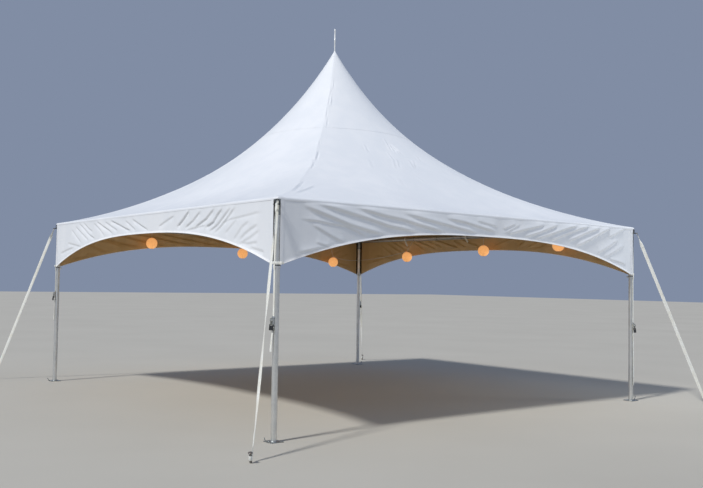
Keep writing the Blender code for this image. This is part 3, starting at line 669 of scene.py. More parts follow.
def relief(x, y):
    # how far the fabric stands above the plain form
    swell = np.sin(2.1 * x + 0.6) * np.sin(1.7 * y - 0.4)
    swell = swell + 0.6 * np.sin(3.9 * x - 1.1 + 0.8 * y) * np.sin(3.1 * y + 0.9)
    fromEdge = np.clip((edge - np.maximum(np.abs(x), np.abs(y))) / canopy["swellEase"], 0, 1)
    fromPeak = np.clip(np.hypot(x, y) / canopy["swellEase"], 0, 1)
    height = canopy["swell"] * swell * fromEdge * fromPeak
    for start, end, tall, wide in creases:
        line = np.array(end) - np.array(start)
        length = np.linalg.norm(line)
        line = line / length
        run = (x - start[0]) * line[0] + (y - start[1]) * line[1]
        off = (x - start[0]) * -line[1] + (y - start[1]) * line[0]
        taper = np.clip(run / (0.3 * length), 0, 1) * np.clip((length - run) / (0.3 * length), 0, 1)
        # a ridge with a shallower dip beside it
        ridge = np.exp(-(off / wide) ** 2)
        dip = 0.7 * np.exp(-((off - 1.7 * wide) / wide) ** 2)
        height = height + tall * eased(taper) * (ridge - dip)
    return height


def spaced(first, stretches):
    # values from first up to each stretch's end, in that many even steps
    values = [np.array([first])]
    for end, steps in stretches:
        values.append(np.linspace(values[-1][-1], end, steps + 1)[1:])
    return np.concatenate(values)


def eaveSlope():
    step = 0.01
    return math.atan((hipHeight(1 - 2 * step) - hipHeight(1 - step)) / (edge * step))


def roofReaches():
    first = canopy["tipRadius"] / (edge * math.sqrt(2))
    last = 1 - canopy["rollRadius"] * (1 - math.sin(eaveSlope())) / edge
    return np.minimum(spaced(first, canopy["rows"][:-1] + ((last, canopy["rows"][-1][1]),)), last)


def lifted(points, reaches):
    # points in the whole tent's frame, moved along the roof's slope by the relief
    x, y = points[..., 0], points[..., 1]
    height = relief(x, y)
    slope = np.gradient(hipHeight(reaches), edge * reaches)[:, None]
    steep = 1 / np.sqrt(1 + slope ** 2)
    away = np.maximum(np.hypot(x, y), 1e-6)
    lean = -slope * steep
    moved = points.copy()
    moved[..., 0] += x / away * lean * height
    moved[..., 1] += y / away * lean * height
    moved[..., 2] += steep * height
    return moved


def roundCorners(points, radius):
    # square plan corners become arcs
    x, y = points[..., 0], points[..., 1]
    over = edge - radius
    pastX, pastY = np.abs(x) - over, np.abs(y) - over
    inside = (pastX > 0) & (pastY > 0)
    reach = np.maximum(pastX, pastY)
    away = np.hypot(pastX, pastY) + 1e-9
    newX = np.sign(x) * (over + pastX / away * reach)
    newY = np.sign(y) * (over + pastY / away * reach)
    points[..., 0] = np.where(inside, newX, x)
    points[..., 1] = np.where(inside, newY, y)
    return points


def canopyRoof():
    reaches = roofReaches()
    slope = eaveSlope()
    rolls = np.linspace(0, 1, canopy["rollSteps"] + 1)[1:, None]
    blocks, uvBlocks = [], []
    for side in roofOrder:
        across = spaced(-1.0, canopy["columns"][side])[:-1]
        middle = np.argmin(np.abs(across))
        upper = roofPoint(reaches[:, None], across[None, :])
        upper = lifted(turnPoints(upper, side), reaches)
        # over the eave: a roll, then a short flap, both shallower towards the corners
        place = edge * across
        near = eased((edge - np.abs(place)) / canopy["cornerEase"])
        keep = canopy["cornerKeep"] + (1 - canopy["cornerKeep"]) * near
        radius, proud = canopy["rollRadius"], canopy["eaveProud"]
        centreX = edge - radius
        centreZ = hipHeight(reaches[-1]) - radius * math.cos(slope)
        run = radius * (pi / 2 - slope) + canopy["flap"]
        gone = rolls * run * keep[None, :]
        angle = slope + np.minimum(gone / radius, pi / 2 - slope)
        down = np.maximum(gone - radius * (pi / 2 - slope), 0)
        out = centreX + radius * np.sin(angle) + proud * np.minimum(rolls * 2, 1)
        along = np.broadcast_to(place, out.shape) * (out / edge)
        lower = np.stack([out, along, centreZ + radius * np.cos(angle) - down], axis=-1)
        both = np.concatenate([upper, turnPoints(lower, side)])
        travelled = np.concatenate([[0], np.cumsum(np.linalg.norm(np.diff(both[:, middle], axis=0), axis=1))])
        uv = np.stack(np.broadcast_arrays(place[None, :], travelled[:, None]), axis=-1)
        blocks.append(both)
        uvBlocks.append(uv + np.array((sideTurns[side] * 4, 0)))
    points = roundCorners(np.concatenate(blocks, axis=1), canopy["cornerRadius"])
    uvs = np.concatenate(uvBlocks, axis=1)
    mesh = sheetMesh("canopy_roof", points, uvs, canopy["thickness"], loop=True)
    panels = [side + "_roof_panel" for side in sideTurns]
    return finishPiece("canopy_roof", mesh, [whiteVinyl, paintedShadeLining], panels)


roofPiece = canopyRoof()
print("canopy roof:", len(roofPiece.data.polygons), "faces")

# welded strips on the canopy: up each hip, and a level one where the upper cloth starts
weldStrips = {
    "proud": 0.001, "thickness": 0.0007,
    "hipWidth": 0.044, "hipColumns": 9, "hipFromRow": 4, "slopeStretch": 1.5,
    "levelWidth": 0.03, "levelReach": 0.262, "levelRows": 5, "levelColumns": 60, "levelLift": 0.0006,
    "levelStretch": 1.35, "levelUv": (8, 0.03),
}


def hipStrip(corner, side):
    reaches = roofReaches()[weldStrips["hipFromRow"]:]
    halfWidth = weldStrips["hipWidth"] / 2
    offsets = np.linspace(-1, 1, weldStrips["hipColumns"])
    rows = []
    nextSide = roofOrder[(roofOrder.index(side) + 1) % 4]
    for offset in offsets:
        away = np.minimum(abs(offset) * halfWidth * math.sqrt(2) / (edge * reaches), 0.6)
        # beyond the hip the strip lies on the next side round
        onSide, end = (side, 1) if offset <= 0 else (nextSide, -1)
        line = turnPoints(roofPoint(reaches, end * (1 - away)), onSide)
        rows.append(lifted(line[:, None], reaches)[:, 0])
    points = np.stack(rows, axis=1)
    points = points + sheetNormals(points) * weldStrips["proud"]
    travelled = (reaches * edge * weldStrips["slopeStretch"])[:, None]
    uv = np.stack(np.broadcast_arrays(offsets[None, :] * halfWidth, travelled), axis=-1)
    mesh = sheetMesh(corner + "_hip_weld", points, uv, weldStrips["thickness"])
    return finishPiece(corner + "_hip_weld", mesh, [whiteVinyl, whiteVinyl])


def levelStrip():
    rows, columns = weldStrips["levelRows"], weldStrips["levelColumns"]
    across = np.linspace(-1, 1, columns + 1)[:-1]
    halfWidth = weldStrips["levelWidth"] / 2 / edge
    reaches = weldStrips["levelReach"] + np.linspace(-halfWidth, halfWidth, rows) / weldStrips["levelStretch"]
    blocks = []
    for side in roofOrder:
        blocks.append(lifted(turnPoints(roofPoint(reaches[:, None], across[None, :]), side), reaches))
    points = np.concatenate(blocks, axis=1)
    points = points + sheetNormals(points, loop=True) * (weldStrips["proud"] + weldStrips["levelLift"])
    roundTent, acrossStrip = weldStrips["levelUv"]
    uv = np.linspace(0, roundTent, 4 * columns)[None, :], np.linspace(0, acrossStrip, rows)[:, None]
    uv = np.stack(np.broadcast_arrays(*uv), axis=-1)
    mesh = sheetMesh("level_weld", points, uv, weldStrips["thickness"], loop=True)
    return finishPiece("level_weld", mesh, [whiteVinyl, whiteVinyl])


hipSides = (("front_right", "front"), ("back_right", "right"), ("back_left", "back"), ("front_left", "left"))
hipWelds = [hipStrip(corner, side) for corner, side in hipSides]
levelWeld = levelStrip()

# peak: a welded boot drawn up round the rod
peakBoot = {
    "low": 0.06, "high": 0.0122, "proud": 0.0022, "neck": 0.012, "thickness": 0.0016,
    "neckWall": 0.0006, "neckFoot": 0.004, "taper": 0.0004,
}


def makePeakBoot(look):
    radii = np.linspace(look["low"], look["high"], 12)
    heights = hipHeight(radii / (edge * math.sqrt(2))) + look["proud"]
    outer = list(zip(radii, heights))
    top = outer[-1][1]
    inner = look["high"] - look["neckWall"]
    neck = top + look["neck"]
    profile = outer + [(look["high"], neck), (inner, neck), (inner, top - look["neckFoot"])]
    profile += [(r - look["taper"], z - look["thickness"]) for r, z in reversed(outer[:-1])]
    return Shape().turned(profile, steps=48, closed=True).make("peak_boot", whiteVinyl, "vinyl", ["peak_cap"])


makePeakBoot(peakBoot)
print("canopy welds and peak done")

# valances: arched skirts, with the folds that the corners pull into them
valance = {
    "crownDrop": 0.268, "cornerDrop": 0.688, "archPower": 2.6,
    "top": 0.009, "inset": 0.0015, "thickness": 0.0013,
    # how strong each side's ridges and dips are, and how much wider than listed
    "ridge": {"front": 2.0, "left": 0.6, "right": 0.6, "back": 2.0},
    "valley": {"front": 1.05, "left": 2.05, "right": 2.05, "back": 1.05},
    "widen": {"front": 0.9, "left": 1.05, "right": 1.1, "back": 1.0},
    "hem": 0.02, "hemRows": 5, "endHem": 0.04, "endHemColumns": 4, "endHemRows": 39,
    "hemProud": 0.0012, "hemThickness": 0.0012, "bead": 0.0042, "beadInset": 0.004, "beadDrop": 0.001,
    "columns": {"front": 520, "left": 740, "right": 400, "back": 400},
    "rows": {"front": 56, "left": 48, "right": 30, "back": 30},
    "fade": 0.2, "reachAbove": 0.052, "reachBelow": 0.027,
    "topHeld": 0.05, "hemHeld": 0.055, "endHeld": 0.18,
    "hemKeep": 0.3, "hemFlare": 0.006, "flareHeight": 0.026, "ripple": 0.0012,
    "ends": {
        "front": (-3.04, 3.036), "right": (-3.036, 3.036), "back": (-3.036, 3.036), "left": (-3.036, 3.022),
    },
    "lengths": {"front": ("_left", "_crown", "_right"), "left": ("_back", "_crown", "_front")},
    "flatCut": (6.12, 0.74), "flatArea": 2.52,
}
# each fold: the line where the cloth turns in fastest, as (along, height) points, its depth and half width
frontFolds = (
    (((-2.8, 2.393), (-2.54, 2.321), (-2.35, 2.27), (-2.14, 2.212), (-1.89, 2.166), (-1.6, 2.125)),
     0.015, 0.019),
    (((-2.66, 2.425), (-2.28, 2.364), (-1.86, 2.287), (-1.57, 2.226), (-1.39, 2.209), (-1.05, 2.16)),
     0.0145, 0.019),
    (((-2.1, 2.41), (-1.65, 2.34), (-1.39, 2.313), (-1.12, 2.264), (-0.64, 2.19)), 0.0155, 0.019),
    (((-1.4, 2.39), (-0.96, 2.326), (-0.64, 2.282), (-0.1, 2.205)), 0.014, 0.018),
    (((-0.72, 2.37), (-0.39, 2.339), (-0.13, 2.294), (0.2, 2.245)), 0.0125, 0.016),
    (((-0.2, 2.37), (0.2, 2.312)), 0.006, 0.014),
    (((0.34, 2.22), (0.7, 2.305), (1.12, 2.388)), 0.0115, 0.014),
    (((0.28, 2.286), (0.53, 2.37)), 0.005, 0.009),
    (((0.31, 2.232), (0.62, 2.37)), 0.0045, 0.009),
    (((0.66, 2.195), (0.99, 2.285), (1.38, 2.404)), 0.0125, 0.014),
    (((0.82, 2.172), (1.19, 2.264), (1.5, 2.349), (1.82, 2.424)), 0.0135, 0.014),
    (((1.16, 2.17), (1.5, 2.275), (1.82, 2.37), (2.08, 2.428)), 0.0125, 0.013),
    (((1.53, 2.178), (1.93, 2.312), (2.31, 2.422)), 0.013, 0.013),
    (((1.7, 2.118), (2.04, 2.236), (2.27, 2.328), (2.55, 2.432)), 0.0135, 0.013),
    (((2.44, 2.278), (2.68, 2.361), (2.85, 2.438)), 0.0075, 0.01),
    (((2.18, 2.042), (2.5, 2.172), (2.7, 2.272)), 0.008, 0.012),
    (((2.34, 1.988), (2.61, 2.092), (2.84, 2.192)), 0.0065, 0.012),
    (((2.88, 1.92), (2.68, 1.955), (2.46, 1.986)), 0.006, 0.011),
    (((-2.82, 2.244), (-2.57, 2.234), (-2.41, 2.214), (-2.2, 2.201), (-2.03, 2.148), (-1.86, 2.08)),
     0.005, 0.007),
    (((-2.66, 2.2), (-2.41, 2.093), (-2.18, 2.005)), 0.006, 0.012),
    (((-2.84, 1.895), (-2.56, 1.946), (-2.3, 1.968)), 0.007, 0.01),
    (((-2.88, 1.842), (-2.64, 1.904), (-2.5, 1.93)), 0.0045, 0.008),
    (((-2.6, 2.012), (-2.4, 1.97)), 0.004, 0.008),
)
leftFolds = (
    (((-2.44, 2.345), (-2.24, 2.231), (-2.02, 2.118)), 0.0085, 0.01),
    (((-2.28, 2.38), (-2.01, 2.253), (-1.76, 2.148)), 0.01, 0.01),
    (((-2.16, 2.428), (-1.94, 2.323), (-1.74, 2.229), (-1.5, 2.16)), 0.011, 0.01),
    (((-1.98, 2.425), (-1.75, 2.316), (-1.6, 2.268)), 0.008, 0.01),
    (((-1.6, 2.4), (-1.35, 2.286), (-1.18, 2.19)), 0.007, 0.011),
    (((-1.5, 2.42), (-1.25, 2.332), (-1.07, 2.276), (-0.9, 2.212)), 0.013, 0.011),
    (((-1.2, 2.4), (-0.94, 2.312), (-0.74, 2.248)), 0.0095, 0.011),
    (((-1.02, 2.408), (-0.71, 2.33), (-0.52, 2.275), (-0.33, 2.237)), 0.014, 0.011),
    (((-0.52, 2.385), (-0.33, 2.3), (-0.18, 2.237)), 0.008, 0.011),
    (((-0.32, 2.394), (-0.06, 2.302), (0.19, 2.222)), 0.0115, 0.011),
    (((-2.6, 2.138), (-2.27, 2.097), (-2.02, 2.062)), 0.007, 0.01),
    (((-2.88, 1.975), (-2.59, 2.029), (-2.3, 2.066)), 0.008, 0.011),
    (((0.44, 2.252), (0.67, 2.32), (0.9, 2.38)), 0.007, 0.011),
    (((0.94, 2.228), (1.08, 2.301), (1.18, 2.367), (1.26, 2.428)), 0.013, 0.01),
    (((1.14, 2.21), (1.33, 2.283), (1.54, 2.406)), 0.01, 0.01),
    (((1.39, 2.208), (1.65, 2.297), (1.85, 2.418)), 0.0115, 0.01),
    (((1.62, 2.196), (1.81, 2.252), (1.9, 2.33), (2.02, 2.41)), 0.0125, 0.009),
    (((1.7, 2.146), (1.9, 2.218), (2.05, 2.311), (2.2, 2.412)), 0.01, 0.009),
    (((1.82, 2.124), (1.99, 2.209), (2.12, 2.291), (2.3, 2.412)), 0.009, 0.009),
    (((1.95, 2.222), (2.16, 2.267), (2.39, 2.285), (2.58, 2.3), (2.7, 2.313), (2.84, 2.316)),
     0.004, 0.006),
    (((2.06, 2.112), (2.2, 2.194), (2.32, 2.268)), 0.005, 0.01),
    (((2.24, 2.03), (2.35, 2.118), (2.43, 2.179), (2.58, 2.238)), 0.0065, 0.011),
    (((2.36, 2.03), (2.49, 2.103), (2.59, 2.143), (2.75, 2.196)), 0.008, 0.012),
    (((2.4, 2.006), (2.59, 2.057), (2.78, 2.135)), 0.006, 0.01),
    (((2.36, 2.012), (2.54, 1.994), (2.76, 2.008)), 0.006, 0.009),
    (((2.58, 1.956), (2.73, 1.928), (2.88, 1.9)), 0.0065, 0.009),
    (((1.16, 2.184), (1.43, 2.208), (1.66, 2.228)), 0.0055, 0.009),
)


def mirrored(lines):
    return [(tuple((-along, height) for along, height in path), depth, wide) for path, depth, wide in lines]


folds = {"front": frontFolds, "left": leftFolds, "right": mirrored(leftFolds), "back": mirrored(frontFolds)}


def archHeight(place):
    share = np.abs(place) / valanceEnd
    crown = valance["crownDrop"]
    return canopy["eaveHeight"] - crown - (valance["cornerDrop"] - crown) * share ** valance["archPower"]


def underLine(path, place, height):
    # how far each point lies below a line, and its share of the line's length
    nearest = np.full(place.shape, np.inf)
    below, travelled = np.zeros(place.shape), np.zeros(place.shape)
    path = np.array(path)
    lengths = np.linalg.norm(np.diff(path, axis=0), axis=1)
    starts = np.concatenate([[0], np.cumsum(lengths)])
    for n, length in enumerate(lengths):
        heading = (path[n + 1] - path[n]) / length
        run = (place - path[n][0]) * heading[0] + (height - path[n][1]) * heading[1]
        off = (place - path[n][0]) * heading[1] - (height - path[n][1]) * heading[0]
        inner = np.clip(run, 0, length)
        away = np.hypot(off, run - inner)
        closer = away < nearest
        nearest = np.where(closer, away, nearest)
        below = np.where(closer, np.sign(off * heading[0]) * away, below)
        past = run if n in (0, len(lengths) - 1) else inner
        travelled = np.where(closer, starts[n] + past, travelled)
    return below, travelled / starts[-1]


def foldHeight(side, place, height):
    # how far the skirt stands out from its flat plane
    top = canopy["eaveHeight"] - valance["top"]
    low = archHeight(place)
    total = np.zeros_like(place)
    for path, depth, wide in folds[side]:
        wide *= valance["widen"][side]
        below, share = underLine(path, place, height)
        held = eased(share / valance["fade"]) * eased((1 - share) / valance["fade"])
        # a ridge that swells towards the line from above, and a dip that eases out below it
        turn = 0.5 + 0.5 * np.tanh(below / wide)
        ridge = valance["ridge"][side] * (1 - turn) * np.exp(np.minimum(below, 0) / valance["reachAbove"])
        dip = valance["valley"][side] * turn * np.exp(-np.maximum(below, 0) / valance["reachBelow"])
        total += depth * held * (ridge - dip)
    below = eased((top - height) / valance["topHeld"])
    total *= below
    total *= valance["hemKeep"] + (1 - valance["hemKeep"]) * eased((height - low) / valance["hemHeld"])
    total += valance["ripple"] * np.sin(5.3 * place + 1.3) * np.sin(9 * height) * below
    total += valance["hemFlare"] * np.clip(1 - (height - low) / valance["flareHeight"], 0, 1) ** 1.5
    return total * eased((valanceEnd - np.abs(place)) / valance["endHeld"])


def skirtPiece(name, side, place, height, finishes, proud, thickness, nodes=()):
    # a sheet that follows the skirt's folds; rows run down and columns run along, so that it faces outward
    place = np.broadcast_to(place, height.shape).copy()
    out = edge - valance["inset"] + foldHeight(side, place, height) + proud
    points = turnPoints(np.stack([out, place, height], axis=-1), side)
    mesh = sheetMesh(side + name, points, np.stack([place, height], axis=-1), thickness)
    return finishPiece(side + name, mesh, finishes, nodes)


def makeValance(side):
    columns, rows = valance["columns"][side], valance["rows"][side]
    first, last = valance["ends"][side]
    top = canopy["eaveHeight"] - valance["top"]
    place = np.linspace(first, last, columns + 1)[None, :]
    height = top - (top - archHeight(place)) * np.linspace(0, 1, rows + 1)[:, None]
    nodes = [side + "_valance" + length for length in valance["lengths"].get(side, ("",))]
    covers = [whiteVinyl, paintedShadeLining]
    skirt = skirtPiece("_valance_skirt", side, place, height, covers, 0.0, valance["thickness"], nodes)
    onSkirt = valance["hemProud"] + valance["hemThickness"], valance["hemThickness"]
    height = archHeight(place) + valance["hem"] * np.linspace(1, 0, valance["hemRows"] + 1)[:, None]
    trims = [skirtPiece("_arch_hem", side, place, height, [hemHighlightVinyl, hemHighlightVinyl], *onSkirt)]
    share = np.linspace(0, 1, valance["endHemRows"] + 1)[:, None]
    for label, start, end in (("a", first, first + valance["endHem"]), ("b", last - valance["endHem"], last)):
        place = np.linspace(start, end, valance["endHemColumns"] + 1)[None, :]
        height = top - (top - archHeight(place) - valance["hem"]) * share
        trims.append(skirtPiece("_end_hem_" + label, side, place, height, [weldVinyl, weldVinyl], *onSkirt))
    spots = np.linspace(first + valance["beadInset"], last - valance["beadInset"], columns // 2 + 1)
    low = archHeight(spots)
    out = edge - valance["inset"] + foldHeight(side, spots, low) - valance["thickness"] / 2
    path = turnPoints(np.stack([out, spots, low - valance["beadDrop"]], axis=-1), side)
    bead = Shape().tube(path, valance["bead"], steps=10)
    trims.append(bead.make(side + "_arch_bead", hemHighlightVinyl, "vinyl"))
    return skirt, trims


valances = {side: makeValance(side) for side in sideTurns}
print("valances done")
# frame tubes
tube = {
    "radius": 0.03175, "wall": 0.0032, "edge": 0.001, "sides": 48, "plugGap": 0.0006,
    "collarRadius": 0.03775, "collarLow": 1.737, "collarHigh": 1.767,
    "collarEdge": 0.002, "collarGap": 0.0001,
    "ear": (0.022, 0.004, 0.024), "earEdge": 0.0012, "earOut": 0.008, "earApart": 0.014, "boltOut": 0.012,
    "buttonDown": 0.055, "buttonUp": 0.06,
}
boreRadius = tube["radius"] - tube["wall"]
plugRadius = boreRadius - tube["plugGap"]


def makeLeg(corner):
    radius, clamp = tube["radius"], tube["collarRadius"]
    low, high = tube["collarLow"], tube["collarHigh"]
    cut = tube["edge"]
    profile = [(boreRadius, legFoot), (radius - cut, legFoot), (radius, legFoot + cut)]
    profile += [(radius, legTop - cut), (radius - cut, legTop), (boreRadius, legTop)]
    shape = Shape().turned(profile, steps=tube["sides"], closed=True)
    # split collar clamp with two ears and a bolt on the inner side
    cut, bore = tube["collarEdge"], radius + tube["collarGap"]
    ring = [(bore, low), (clamp - cut, low), (clamp, low + cut), (clamp, high - cut)]
    ring += [(clamp - cut, high), (bore, high)]
    shape.turned(ring, steps=tube["sides"], closed=True)
    middle = (low + high) / 2
    for hand in (-1, 1):
        spot = (-clamp - tube["earOut"], hand * tube["earApart"] / 2, middle)
        shape.block(tube["ear"], spot, bevel=tube["earEdge"])
    boltX = -clamp - tube["boltOut"]
    shape.rod((boltX, -0.016, middle), (boltX, 0.014, middle), 0.0032, 12)
    shape.rod((boltX, -0.019, middle), (boltX, -0.0092, middle), 0.0062, 6, 0.0008)
    # spring buttons that lock the spigots in the tube
    for z, turn in ((legTop - tube["buttonDown"], 0.0), (legFoot + tube["buttonUp"], pi / 2)):
        outward = Vector((-math.cos(turn), math.sin(turn), 0))
        start = Vector((0, 0, z)) + outward * (radius - 0.002)
        button = [(0, 0), (0.0046, 0), (0.0046, 0.0035), (0.0032, 0.0052), (0, 0.0056)]
        shape.turned(button, along(start, start + outward), 16)
        rim = [(0.0052, 0.0019), (0.0066, 0.0019), (0.0066, 0.0026), (0.0052, 0.0026)]
        shape.turned(rim, along(start, start + outward), 20, closed=True)
    shape.points = [cornerFrame(corner) @ point for point in shape.points]
    return shape.make(corner + "_leg_tube", legAluminium, "aluminium", [corner + "_leg"])


# black rings that draw dark lines on the collar and at the tube's joint: how far in and proud, then heights
# of the four corners
ringLook = {
    "collar": (0.001, 0.0002, (-0.0095, -0.009, -0.0005, 0.0002)),
    "joint": (0.0005, 0.0003, (-0.002, -0.0015, 0.0025, 0.003)),
}


def makeLegRings(corner):
    shape = Shape()
    bases = (("collar", tube["collarRadius"], tube["collarHigh"]), ("joint", tube["radius"], legTop))
    for kind, radius, base in bases:
        sunk, proud, heights = ringLook[kind]
        radii = (radius - sunk, radius + proud, radius + proud, radius - sunk)
        rim = [(r, base + z) for r, z in zip(radii, heights)]
        shape.turned(rim, cornerFrame(corner), tube["sides"], closed=True)
    return shape.make(corner + "_leg_rings", blackCoat, "black_ratchet")


# the band that ties the skirts to the leg
bandLook = {
    "low": 1.775, "width": 0.027, "radius": 0.0356, "thickness": 0.0014, "toSkirt": 0.0625, "sewn": 0.03,
    "steps": 48, "seam": 0.3, "inboard": 0.012,
}


def makeBand(corner):
    signX, signY = cornerSigns[corner]
    where = Matrix.Translation((signX * half, signY * half, bandLook["low"] + bandLook["width"] / 2))
    reach = Vector((0, 0, bandLook["width"] / 2))
    thickness, steps = bandLook["thickness"], bandLook["steps"]
    turns = [2 * pi * i / steps + bandLook["seam"] for i in range(steps + 1)]
    ring = [Vector((math.cos(turn), math.sin(turn), 0)) * bandLook["radius"] for turn in turns]
    shape = Shape().ribbon([(point, reach) for point in ring], thickness, where)
    outX, outY = Vector((signX, 0, 0)), Vector((0, signY, 0))
    for outward, inboard in ((outX, -outY), (outY, -outX)):
        # out from the band and sewn flat to the back of the skirt
        start = outward * (bandLook["radius"] + thickness)
        turn = outward * bandLook["toSkirt"] + inboard * bandLook["inboard"]
        path = [start - inboard * bandLook["inboard"], start * 1.25 + inboard * 0.002]
        path = rounded(path + [turn, turn + inboard * bandLook["sewn"]], 0.02)
        shape.ribbon([(point, reach) for point in path], thickness, where)
    return shape.make(corner + "_corner_band", strapWebbing, "webbing")


slotShadeLook = {
    "top": 2.395, "low": 1.782, "thickness": 0.0012, "behind": 0.002,
    "onSkirt": 0.03, "turnBefore": 0.004, "toLeg": 0.018,
    # places past the skirt's end: how far behind it, and share of the way to the leg
    "turns": ((0.01, 0.5), (0.022, 0.6)),
}


def makeSlotShadeStrips(corner):
    # black strips behind the skirts' ends, which close the slot down to a dark line: painted shade, a dark
    # sheet standing for the shadow in the gap
    signX, signY = cornerSigns[corner]
    where = Matrix.Translation((signX * half, signY * half, 0))
    shape = Shape()
    middle = Vector((0, 0, (slotShadeLook["top"] + slotShadeLook["low"]) / 2))
    reach = Vector((0, 0, (slotShadeLook["top"] - slotShadeLook["low"]) / 2))
    back = edge - half - valance["inset"] - valance["thickness"] - slotShadeLook["behind"]
    outX, outY = Vector((signX, 0, 0)), Vector((0, signY, 0))
    sideX, sideY = ("right" if signX > 0 else "left"), ("back" if signY > 0 else "front")
    for side, outward, ahead in ((sideX, outX, outY), (sideY, outY, outX)):
        hand = ahead.dot(sideFrame(side) @ Vector((0, 1, 0)))
        last = abs(valance["ends"][side][1 if hand > 0 else 0]) - half
        onSkirt = (last - slotShadeLook["onSkirt"], last - slotShadeLook["turnBefore"])
        plan = [outward * back + ahead * place for place in onSkirt]
        for behind, share in slotShadeLook["turns"]:
            plan.append(outward * (back - behind) + ahead * (last + slotShadeLook["toLeg"] * share))
        rows = [(point + middle, reach) for point in rounded(plan, 0.008)]
        shape.ribbon(rows, slotShadeLook["thickness"], where)
    return shape.make(corner + "_slot_shade_strips", blackCoat, "black_ratchet")


for corner in cornerSigns:
    makeLeg(corner)
    makeLegRings(corner)
    makeBand(corner)
    makeSlotShadeStrips(corner)
for side in sideTurns:
    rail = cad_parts[side + "_eave_rail"]
    rail.material_slots[0].material = frontRailAluminium if side in ("front", "back") else sideRailAluminium

# corner fittings
fitting = {
    "stub": 0.15, "sleeve": 0.125, "spigot": 0.06, "armSpigot": 0.05,
    "hubRadius": 0.03575, "hubCrown": 0.025, "hubSkirt": 0.041,
    "beadSteps": 72, "beadRadius": 0.003, "beadUneven": 0.0005, "lockBack": 0.035,
    "bailReach": 0.05, "bailDrop": 0.05, "bailRadius": 0.005, "bailWidth": 0.045, "bailRoom": 0.013,
    "bossRadius": 0.012, "bossGap": 0.003,
    # arch over the bail, as (out, along, up), with up counted from the rail
    "arch": ((0.039, -0.025, -0.05), (0.042, -0.025, -0.016), (0.045, 0, 0.008),
             (0.042, 0.025, -0.016), (0.039, 0.025, -0.05)),
}


def makeFitting(corner):
    radius, hub = tube["radius"], fitting["hubRadius"]
    where = cornerFrame(corner)
    low, skirt = railHeight - fitting["stub"], railHeight - fitting["hubSkirt"]
    crown = railHeight + fitting["hubCrown"]
    tip, cut, sides = low - fitting["spigot"], tube["edge"], tube["sides"]
    post = [(0, tip), (plugRadius, tip), (plugRadius, low), (radius - cut, low), (radius, low + cut)]
    post += [(radius, skirt - 0.002), (hub - 0.0005, skirt + 0.003), (hub, skirt + 0.006)]
    post += [(hub, crown - 0.008), (hub - 0.0025, crown - 0.0025), (hub - 0.008, crown), (0, crown)]
    shape = Shape().turned(post, where, sides)
    centre = Vector((0, 0, railHeight))
    for angle in (3 * pi / 4, -3 * pi / 4):
        outward = Vector((math.cos(angle), math.sin(angle), 0))
        lying = where @ along(centre, centre + outward)
        end = fitting["sleeve"]
        tip = end + fitting["armSpigot"]
        arm = [(0, 0.012), (radius, 0.012), (radius, end - cut), (radius - cut, end), (plugRadius, end)]
        arm += [(plugRadius, tip), (0, tip)]
        shape.turned(arm, lying, sides)
        # weld bead where the arm meets the hub, and the rail's lock bolt
        bead = []
        for point in circle(radius + 0.0012, fitting["beadSteps"], (0, 0, 0), (0, 0, 1), (0, 1, 0)):
            depth = math.sqrt(max(hub ** 2 - point.y ** 2, 0.0001)) + 0.001
            sideways = Vector((-outward.y, outward.x, 0)) * point.y
            bead.append(centre + outward * depth + sideways + Vector((0, 0, point.z)))
        uneven = [fitting["beadUneven"] * math.sin(i * 2.6) for i in range(len(bead))]
        shape.tube(bead, [fitting["beadRadius"] + rough for rough in uneven], 8, where, loop=True)
        spot = centre + outward * (end - fitting["lockBack"]) + Vector((0, 0, -radius + 0.001))
        shape.rod(spot, spot + Vector((0, 0, -0.007)), 0.0065, 6, 0.0008, where)
    # lug that takes the mast's cable
    boss = cableEnds(corner)[1]
    local = where.inverted() @ boss
    inward = (local - centre).normalized()
    shape.rod(centre + inward * 0.02, local - inward * 0.0003, fitting["bossRadius"], 24, 0.001, where)
    # bent bar that the guy loops over
    reach, drop, bar = radius + fitting["bailReach"], fitting["bailDrop"], fitting["bailRadius"]
    halfBar = fitting["bailWidth"] / 2 + fitting["bailRoom"]
    line = [(radius * 0.6, -0.018), (reach, -halfBar), (reach, halfBar), (radius * 0.6, 0.018)]
    shape.make(corner + "_hub", castFinish, "cast_fitting", [corner + "_corner_fitting"])
    bail = rounded([(x, y, railHeight - drop) for x, y in line], 0.017)
    loop = Shape().tube(bail, bar, 16, where)
    for hand in (-1, 1):
        collar = (radius + 0.001, hand * 0.0205, railHeight - drop)
        ring = circle(bar + 0.001, 24, collar, (0, 1, 0), (0, 0, 1))
        loop.tube(ring, 0.0022, 8, where, loop=True)
    # forged arch that the bail hangs from
    arch = [(x, y, railHeight + z) for x, y, z in fitting["arch"]]
    loop.tube(rounded(arch, 0.02), 0.0042, 12, where)
    return loop.make(corner + "_guy_bail", forgedSteel, "cast_fitting")


# mast, its foot and the four cables that hold it up
mastLook = {
    "footDrop": 0.168, "footRadius": 0.052, "footDepth": 0.04, "footBevel": 0.004, "bossLength": 0.016,
    "headRadius": 0.082, "headTip": 0.016, "headDepth": 0.03, "underCloth": 0.0062, "gap": 0.0003,
    "cableRadius": 0.0048, "strands": 6, "strandDepth": 0.22, "lay": 0.075,
    "ropeStep": 0.009, "ropeInset": 0.02,
    "swageRadius": 0.008, "swageLength": 0.07, "swageGap": 0.0004,
}
footHeight = canopy["eaveHeight"] - mastLook["footDrop"]


def cableEnds(corner):
    # from the boss on the mast's foot to the boss on the corner fitting
    back = (tube["radius"] + fitting["bossRadius"] + fitting["bossGap"]) * math.sqrt(2)
    high = Vector((half * math.sqrt(2) - back, 0, railHeight))
    low = Vector((mastLook["footRadius"] + mastLook["bossLength"], 0, footHeight))
    turn = cornerTurn(corner)
    return turn @ low, turn @ high


